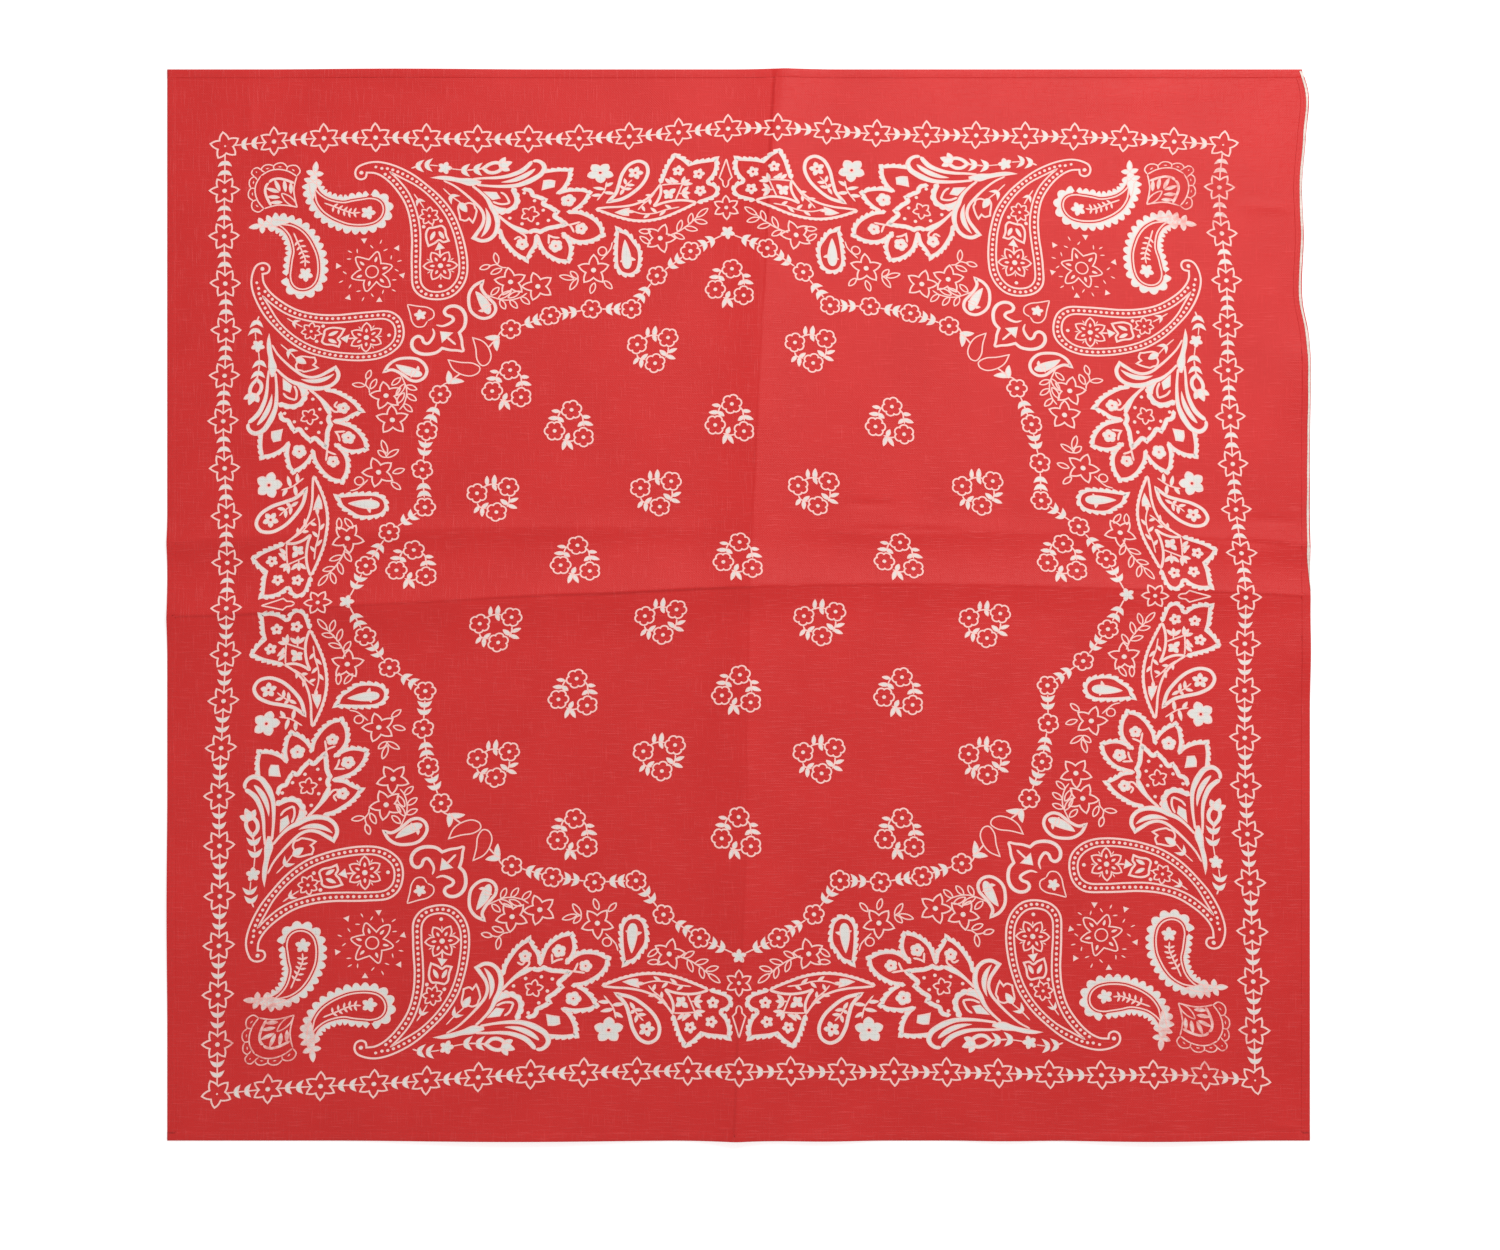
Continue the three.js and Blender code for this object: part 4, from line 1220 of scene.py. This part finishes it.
def curled_leaves():
    """The two curled leaves that hold the lotus, with a crescent in each, and the wedge they end in."""
    film = Film("print_curled_leaves")
    film.ribbon([(-224.8, -92.6, 1), (-225.0, -90.4), (-223.5, -88.0), (-221.0, -87.0), (-217.5, -88.4),
                 (-215.1, -91.4), (-213.1, -95.1), (-211.6, -99.5), (-211.2, -104.9), (-211.4, -111.0),
                 (-212.2, -118.4)], [1.6, 2.2, 2.6, 2.9, 2.2, 1.7, 1.3, 1.2])
    film.ribbon([(-224.9, -92.8), (-222.5, -94.5), (-219.8, -97.2), (-218.0, -100.6), (-216.7, -104.4),
                 (-216.0, -109.1), (-215.8, -115.0), (-215.4, -120.5)], [2.0, 2.5, 2.2, 1.7, 1.3, 1.1])
    film.leaf((-220.6, -91.2), (-213.5, -107.0), 2.6, 0.1, 0.4)
    film.ribbon([(-211.9, -120.6), (-208.4, -116.7), (-204.8, -113.6), (-202.2, -112.2), (-199.9, -111.3),
                 (-196.2, -109.5), (-191.8, -108.7), (-187.8, -109.3), (-184.9, -110.8), (-182.9, -113.3),
                 (-182.4, -116.6), (-184.0, -120.1, 1), (-187.3, -117.9), (-190.6, -115.9), (-194.6, -115.0),
                 (-198.4, -116.0), (-202.2, -118.8), (-207.6, -124.0), (-211.8, -129.0), (-214.5, -134.0)],
                [1.2, 1.5, 2.4, 2.6, 2.0, 1.9, 1.9, 1.6, 1.5, 1.3, 1.1, 0.9])
    film.leaf((-199.8, -114.3), (-184.3, -116.7), 2.5, 0.16, 0.52)
    film.between([(-214.2, -116.2), (-215.8, -121.0), (-216.0, -126.5), (-216.9, -131.3), (-217.0, -135.9),
                  (-216.0, -140.2)],
                 [(-212.8, -116.4), (-211.6, -121.4), (-213.2, -126.2), (-214.2, -130.2), (-214.8, -134.0),
                  (-215.8, -139.6)])
    return film


def side_sprays():
    """The upright spray by the border: a bud, crescents of two leaves and a solid star; and the tulip."""
    film = Film("print_side_sprays")
    film.stroke([(-222.9, -106.6), (-224.3, -109.3), (-223.5, -112.5), (-221.2, -115.4, 1), (-219.0, -112.9),
                 (-218.9, -109.8), (-220.8, -107.0)], 1.9, closed=True)
    for tip, width in (((-227.3, -105.3), 3.0), ((-224.6, -102.0), 3.2), ((-219.9, -103.0), 3.2)):
        film.leaf((-222.2, -108.2), tip, width, belly=0.5)
    film.leaf((-223.1, -108.4), (-222.7, -103.4), 4.2, belly=0.5)
    for start, end, width in (((-221.2, -115.0), (-220.7, -118.4), 0.9),
                              ((-220.6, -119.0), (-220.2, -123.2), 0.8),
                              ((-220.3, -125.2), (-220.9, -130.6), 0.6),
                              ((-222.4, -136.6), (-222.8, -141.0), 0.6),
                              ((-222.0, -146.6), (-220.9, -149.2), 0.8)):
        film.stroke([start, end], width)
    for joint, wide, high, notch in (((-220.7, -120.1), 7.2, 4.3, 2.5), ((-220.2, -125.8), 7.2, 4.3, 2.5),
                                     ((-222.8, -143.0), 7.2, 3.9, 2.1), ((-222.2, -147.2), 6.7, 4.1, 2.3)):
        film.pair(joint, (0, 1), wide, high, notch)
    film.bloom((-221.3, -133.5), 3.5, 2.1, 5, 90, 0.5)
    film.stroke([(-202.5, -122.1), (-201.6, -119.6), (-199.8, -119.1), (-198.7, -118.4), (-196.5, -118.7),
                 (-194.3, -119.3), (-192.0, -120.3, 1), (-194.3, -122.0, 1), (-193.1, -123.5),
                 (-193.8, -126.1, 1), (-195.8, -126.3), (-197.5, -126.7), (-200.2, -127.0),
                 (-202.4, -126.1, 1), (-201.9, -123.8)], 0.95, closed=True)
    film.leaf((-202.6, -126.2), (-197.6, -122.9), 3.6, belly=0.4)
    film.stroke([(-210.3, -134.1), (-205.7, -129.6), (-202.5, -125.6)], 0.65)
    film.pair((-206.5, -130.9), (0.66, 0.75), 6.2, 3.9, 1.9)
    return film


def dotted_paisleys():
    """The long curled paisley by the corner: two parallel lines with a row of dots between them, and a
    flower, an arrow leaf, a peach leaf and small stars inside."""
    film = Film("print_dotted_paisleys")
    film.stroke([(-222.4, -157.4), (-224.1, -163.3), (-224.3, -166.8), (-223.4, -171.0), (-221.6, -174.2),
                 (-219.0, -175.3), (-216.4, -174.7), (-215.3, -172.8), (-216.2, -170.6), (-218.8, -170.0, 1),
                 (-218.5, -166.4), (-217.0, -163.2), (-214.0, -159.6), (-208.7, -155.4), (-202.1, -151.7),
                 (-193.9, -149.5), (-183.9, -148.7), (-176.0, -149.0), (-169.1, -149.1), (-159.4, -148.4),
                 (-155.0, -144.7), (-153.1, -137.2), (-154.3, -131.3), (-158.5, -126.7), (-164.0, -124.2),
                 (-171.0, -123.5), (-179.3, -124.2), (-188.4, -126.2), (-196.9, -129.3), (-205.1, -134.8),
                 (-212.1, -141.8), (-218.0, -149.0)], 0.98, closed=True)
    film.stroke([(-219.1, -159.3, 1), (-215.8, -153.6), (-211.2, -146.0), (-203.9, -138.4), (-195.7, -132.8),
                 (-186.9, -129.4), (-178.6, -127.8), (-170.9, -127.2), (-165.3, -127.7), (-161.1, -129.6),
                 (-157.9, -133.0), (-156.9, -136.9), (-158.0, -142.0), (-161.2, -144.7), (-169.1, -145.3),
                 (-179.0, -144.9), (-190.0, -145.0), (-200.5, -147.2), (-208.2, -150.4), (-214.4, -154.9)],
                0.9, closed=True)
    dots = curve([(-220.9, -163.0), (-220.6, -159.6), (-217.0, -151.4), (-211.8, -143.9), (-204.5, -136.6),
                  (-196.3, -131.0), (-187.6, -127.8), (-179.0, -126.0), (-171.0, -125.3), (-164.6, -126.0),
                  (-159.8, -128.1), (-156.1, -132.2), (-155.0, -136.9), (-156.4, -143.4), (-160.3, -146.6),
                  (-169.1, -147.2), (-179.3, -146.9), (-190.8, -147.3), (-201.3, -149.5), (-208.4, -152.9),
                  (-214.2, -157.3), (-217.8, -161.4)], step=2.62)
    for spot in dots:
        film.dot(spot, 0.78)
    film.dot((-221.7, -165.8), 0.72)
    film.dot((-218.8, -172.5), 1.0)
    middle = np.array((-170.2, -135.9))
    film.flower(middle, 7.8, 4.3, 6, 30, 0.7, line=0.75, eye=1.3)
    for number in range(6):
        way, between = math.radians(30 + 60 * number), math.radians(60 * number)
        ray, gap = np.array((math.cos(way), math.sin(way))), np.array((math.cos(between), math.sin(between)))
        film.leaf(middle + 2.6 * ray, middle + 4.9 * ray, 1.3)
        film.stroke([middle + 5.3 * gap, middle + 7.2 * gap], 0.65)
    film.between([(-179.0, -133.5), (-182.2, -136.3)], [(-177.9, -138.3), (-182.2, -136.3)])
    film.stroke([(-178.6, -136.0), (-175.0, -135.9)], 0.8)
    film.stroke([(-182.8, -131.7, 1), (-185.5, -132.8), (-189.3, -133.5), (-190.6, -134.9), (-190.2, -136.6),
                 (-189.6, -138.8), (-189.4, -140.8), (-186.7, -142.1), (-183.2, -141.9), (-180.4, -141.1, 1),
                 (-181.9, -138.0), (-183.3, -136.1), (-182.2, -134.3)], 1.05, closed=True)
    film.leaf((-187.8, -136.1), (-183.7, -133.8), 2.0)
    film.leaf((-187.7, -138.0), (-183.1, -140.2), 2.0)
    film.flower((-195.8, -140.6), 4.6, 2.9, 7, 20, 0.6, line=0.7, eye=0.75)
    film.stroke([(-207.4, -147.8), (-203.5, -145.2), (-199.9, -143.0)], 0.65)
    film.pair((-204.6, -146.0), (0.85, 0.53), 4.8, 3.2, 1.6)
    film.stroke([(-191.6, -139.4), (-190.1, -138.8)], 0.8)
    for spot in ((-159.8, -136.2), (-193.1, -135.1), (-190.2, -143.2)):
        film.dot(spot, 0.9)
    return film


def scalloped_paisleys():
    """The short paisley in the corner: an inner line, a bare line, a scalloped band on its hollow side
    and a row of knobs on its round side, with a star and a fern inside."""
    film = Film("print_scalloped_paisleys")
    hollow = [(-214.2, -194.9), (-208.4, -191.8), (-205.7, -188.4), (-204.2, -184.4), (-203.6, -180.3),
              (-204.4, -176.2), (-205.0, -172.0), (-205.4, -168.5), (-204.6, -165.0)]
    round_side = [(-204.6, -165.0), (-202.5, -162.8), (-199.2, -162.1), (-195.9, -163.2), (-193.6, -165.7),
                  (-192.5, -169.3), (-192.3, -173.4), (-192.9, -178.1), (-194.4, -182.1), (-196.5, -186.1),
                  (-199.7, -190.0), (-204.1, -192.8), (-209.0, -194.6), (-214.4, -195.2)]
    film.stroke([(-211.4, -194.1, 1), *hollow[1:], *round_side[1:12], (-207.6, -193.6)], 0.75, closed=True)
    film.ribbon([(-205.5, -194.6), (-210.5, -195.4), (-215.4, -194.7), (-220.4, -193.6)],
                [0.6, 3.0, 5.0, 5.0, 3.2, 2.4])
    for base, tip in (((-214.6, -194.8), (-216.4, -199.0)), ((-215.0, -194.8), (-214.2, -190.4)),
                      ((-218.4, -194.0), (-220.4, -197.9)), ((-218.6, -194.0), (-218.6, -189.8)),
                      ((-219.0, -193.9), (-225.2, -193.2))):
        film.leaf(base, tip, 2.9)
    film.toothed(hollow[:-1], -1.0, 2.5, 1.6, 3.1, scallop=0.8)
    film.toothed([hollow[-2], *round_side], -1.0, 2.3, 2.6, 3.5, scallop=0.6)
    film.bloom((-198.2, -169.2), 3.6, 2.1, 5, 88, 0.5)
    film.stroke([(-198.4, -172.7), (-198.3, -176.6), (-199.3, -179.4), (-200.4, -182.0), (-201.7, -184.8),
                 (-203.6, -189.4)], 0.75)
    for x, y, lean in ((-198.4, -175.8, 0), (-198.5, -178.2, 8), (-199.4, -180.4, 16), (-200.4, -182.8, 24),
                       (-201.6, -185.2, 30)):
        for side in (1, -1):
            way = math.radians(90 - lean + 66 * side)
            film.leaf((x, y), (x + 2.7 * math.cos(way), y + 2.7 * math.sin(way)), 1.1)
    return film


# (x, y, slope in degrees) of the dashes round a sunburst, and where its six triangles lie
SUN_DASHES = [(-171.8, -156.0, -62), (-167.5, -157.6, 58), (-162.6, -158.8, -76), (-157.6, -159.1, 32),
              (-173.8, -160.1, -5), (-177.7, -162.7, -60), (-157.3, -164.3, 3), (-156.1, -169.0, 36),
              (-154.7, -173.5, -14), (-158.5, -175.5, -80), (-161.1, -179.3, -22), (-163.2, -183.4, -66),
              (-167.5, -181.3, 48), (-174.2, -179.6, 88), (-177.6, -179.4, 30), (-178.0, -175.9, 2),
              (-180.0, -169.4, 38), (-181.8, -165.2, -24)]
SUN_TRIANGLES = [(-178.5, -157.2, 50), (-164.3, -154.8, -88), (-153.5, -166.3, 195), (-155.6, -179.9, 60),
                 (-171.0, -184.6, 88), (-183.1, -172.8, 5)]


def sunbursts():
    """The sunburst flower in each corner: six open pointed petals with a drop in each, round a ring, and
    loose triangles and dashes about it."""
    film = Film("print_sunbursts")
    film.copies = CORNERS
    line = [(-170.3, -159.5), (-165.5, -164.1, 1), (-159.3, -161.0), (-162.5, -167.5, 1),
            (-157.9, -171.3), (-163.3, -172.8, 1), (-164.7, -178.9), (-168.8, -175.1, 1),
            (-174.9, -176.7), (-172.7, -170.4, 1), (-177.1, -166.8), (-171.0, -165.2, 1)]
    middle = np.array((-167.5, -169.1))
    rim = []
    for number, point in enumerate(line):
        spot = np.array(point[:2])
        if number % 2:
            rim.append(point)
            continue
        away = (spot - middle) / np.hypot(*(spot - middle))
        left = np.array((-away[1], away[0]))
        rim += [tuple(spot - 3.4 * away + 2.2 * left), tuple(spot - 0.3 * away + 0.3 * left),
                tuple(spot - 0.3 * away - 0.3 * left), tuple(spot - 3.4 * away - 2.2 * left)]
    film.stroke(rim, 0.68, closed=True)
    film.flower(middle, 2.85, 2.85, 6, 0, 0.0, line=0.62, eye=0)
    for x, y in ((-168.8, -163.5), (-163.0, -164.4), (-161.5, -170.5), (-165.6, -174.9), (-172.0, -173.4),
                 (-173.3, -167.3)):
        way = (np.array((x, y)) - middle) / math.hypot(x - middle[0], y - middle[1])
        film.leaf(np.array((x, y)) - 1.3 * way, np.array((x, y)) + 1.5 * way, 1.3, belly=0.4)
    for x, y, turn in SUN_DASHES:
        way = 1.1 * np.array((math.cos(math.radians(turn)), math.sin(math.radians(turn))))
        film.stroke([np.array((x, y)) - way, np.array((x, y)) + way], 0.6)
    for x, y, turn in SUN_TRIANGLES:
        left, right, tip = (np.array((x + 1.7 * math.cos(way), y + 1.7 * math.sin(way)))
                            for way in (math.radians(turn + step) for step in (120, 240, 0)))
        film.between([left, tip], [right, tip])
    return film


def corner_brackets():
    """The heart with a star, the thick trefoil bracket and its arrow leaf, all on the diagonal."""
    film = Film("print_corner_brackets")
    film.copies = CORNERS

    def half(f):
        f.stroke([(-151.5, -151.5), (-150.2, -146.6), (-149.2, -142.1), (-147.1, -139.6), (-144.1, -139.6),
                  (-142.3, -142.3)], 0.65)
        f.ribbon([(-125.4, -125.4), (-128.4, -126.2), (-131.8, -126.6), (-135.4, -127.7, 1), (-137.8, -125.7),
                  (-141.4, -124.9), (-145.0, -125.3), (-147.9, -127.1), (-149.3, -130.0), (-148.7, -133.2),
                  (-146.6, -134.6), (-144.8, -133.7), (-143.8, -131.2), (-142.2, -130.4), (-140.4, -132.3),
                  (-139.2, -135.6), (-140.0, -138.4)], [1.2, 1.3, 1.5, 1.7, 1.8, 1.7, 1.6, 1.5, 1.4, 0.7])

    film.twice(half)
    film.bloom((-145.6, -145.6), 3.0, 1.7, 5, 45, 0.6)
    film.between([(-135.6, -130.4), (-136.6, -136.6)], [(-130.4, -135.6), (-136.6, -136.6)])
    film.stroke([(-129.2, -129.2), (-133.6, -133.6)], 1.1)
    return film


def comma_paisleys():
    """The small comma-shaped paisley with a solid leaf in it, beside each bracket."""
    film = Film("print_comma_paisleys")
    film.stroke([(-161.5, -116.6, 1), (-159.3, -120.5), (-155.7, -122.9), (-151.6, -123.4), (-146.3, -122.4),
                 (-143.1, -119.3), (-142.1, -116.1), (-143.2, -112.9), (-146.0, -111.1), (-149.2, -111.5),
                 (-152.2, -113.9), (-155.2, -116.2), (-158.2, -117.5)], 1.55, closed=True)
    film.leaf((-144.2, -114.2), (-156.4, -120.2), 4.6, -0.05, 0.38)
    film.leaf((-147.8, -116.8), (-149.4, -112.9), 2.4, belly=0.3)
    film.leaf((-146.2, -116.4), (-146.2, -119.1), 1.7, belly=0.3)
    return film


def shell_fans():
    """The shell in each corner: closed scallops with a dash in each round a leaf-shaped field, and in it
    a curved stem with fat leaflets and an open leaf."""
    film = Film("print_shell_fans")
    film.copies = CORNERS

    def half(f):
        f.stroke([(-217.9, -202.3), (-214.5, -203.2), (-210.8, -203.7), (-207.2, -203.3), (-204.6, -202.7),
                  (-202.2, -202.2)], 0.7)
        f.stroke([(-217.9, -202.3), (-220.8, -206.4), (-222.2, -211.0), (-221.9, -215.2),
                  (-219.6, -219.6)], 0.7)
        for lobe in ([(-217.9, -202.4), (-220.4, -200.8), (-223.3, -202.4), (-223.8, -205.0),
                      (-223.0, -206.8), (-221.1, -207.2)],
                     [(-223.0, -206.8), (-225.2, -208.8), (-225.4, -211.6), (-224.2, -213.4),
                      (-222.2, -213.2)],
                     [(-224.2, -213.4), (-225.1, -215.6), (-224.8, -218.0), (-222.8, -219.4),
                      (-221.2, -217.6)],
                     [(-222.6, -219.4), (-224.1, -221.4), (-223.4, -223.4)]):
            f.stroke(lobe, 0.65)
        for start, end in (((-220.6, -203.4), (-221.8, -204.6)), ((-223.4, -209.6), (-223.6, -211.2)),
                           ((-223.2, -215.6), (-223.0, -217.2)), ((-221.4, -221.4), (-222.0, -222.0))):
            f.stroke([start, end], 0.7)
        f.stroke([(-214.4, -203.6), (-216.4, -207.6), (-217.4, -211.4), (-216.8, -214.4),
                  (-215.6, -215.6)], 1.3)
        for base, tip in (((-215.2, -205.2), (-209.0, -205.0)), ((-216.8, -208.4), (-210.2, -207.6)),
                          ((-217.2, -213.0), (-210.6, -210.2))):
            f.leaf(base, tip, 2.0, belly=0.55)

    film.twice(half)
    film.open_leaf((-209.4, -209.4), (-202.2, -202.2), 3.8)
    return film


# Scene

CAMERA_PLACE = (0.0056, -0.0098)
FRAME_WIDTH = 0.735
LENS = 60.0
SENSOR = 36.0
FLOOR_REACH = 4.0
FLOOR_GREY = 0.5
FLOOR_GLOW = 0.62
LAMP_PLACE = (0.34, 0.60, 0.85)
LAMP_SIZE = 0.35
LAMP_POWER = 7.2
SURROUND = (1.0, 0.99, 0.98, 1)
SURROUND_STRENGTH = 0.77


def make_camera():
    """A camera straight above, whose frame is as wide on the cloth as the picture's."""
    data = bpy.data.cameras.new("camera")
    data.lens = LENS
    data.sensor_width = SENSOR
    camera = bpy.data.objects.new("camera", data)
    camera.location = (*CAMERA_PLACE, FRAME_WIDTH * LENS / SENSOR + CLOTH_TOP * MM)
    bpy.context.scene.collection.objects.link(camera)
    bpy.context.scene.camera = camera


def make_floor():
    """The pale floor that the cloth lies on."""
    mesh = bpy.data.meshes.new("floor")
    corners = [(a * FLOOR_REACH, b * FLOOR_REACH, 0) for a, b in ((-1, -1), (1, -1), (1, 1), (-1, 1))]
    mesh.from_pydata(corners, [], [(0, 1, 2, 3)])
    floor = bpy.data.objects.new("floor", mesh)
    material = bpy.data.materials.new("floor_white")
    material.use_nodes = True
    shader = material.node_tree.nodes["Principled BSDF"]
    shader.inputs["Base Color"].default_value = (FLOOR_GREY, FLOOR_GREY, FLOOR_GREY, 1)
    shader.inputs["Emission Color"].default_value = (1, 1, 1, 1)
    shader.inputs["Emission Strength"].default_value = FLOOR_GLOW
    shader.inputs["Roughness"].default_value = 0.9
    mesh.materials.append(material)
    bpy.context.scene.collection.objects.link(floor)


def make_lights():
    """One square lamp beyond the top right corner, turned to the cloth's middle, and an even pale
    surround."""
    data = bpy.data.lights.new("key", "AREA")
    data.size = LAMP_SIZE
    data.energy = LAMP_POWER
    lamp = bpy.data.objects.new("key", data)
    x, y, z = LAMP_PLACE
    lamp.location = LAMP_PLACE
    lamp.rotation_euler = (0, math.atan2(math.hypot(x, y), z), math.atan2(y, x))
    bpy.context.scene.collection.objects.link(lamp)
    world = bpy.data.worlds.new("surround")
    world.use_nodes = True
    ground = world.node_tree.nodes["Background"]
    ground.inputs["Color"].default_value = SURROUND
    ground.inputs["Strength"].default_value = SURROUND_STRENGTH
    bpy.context.scene.world = world
    bpy.context.scene.view_settings.view_transform = "Standard"


make_camera()
make_floor()
make_lights()

cloth = make_cloth()
hems = [make_hem(edge) for edge in ("top", "bottom", "left", "right")]
trims = [make_stitches(), make_pale_edge()]

FILMS = (star_border, flower_chain, wreaths, butterfly_leaves, axis_motifs, teardrops, star_sprays, lotus,
         curled_leaves, side_sprays, dotted_paisleys, scalloped_paisleys, sunbursts, corner_brackets,
         comma_paisleys, shell_fans)
prints = [draw().make(INK, "white_print") for draw in FILMS]
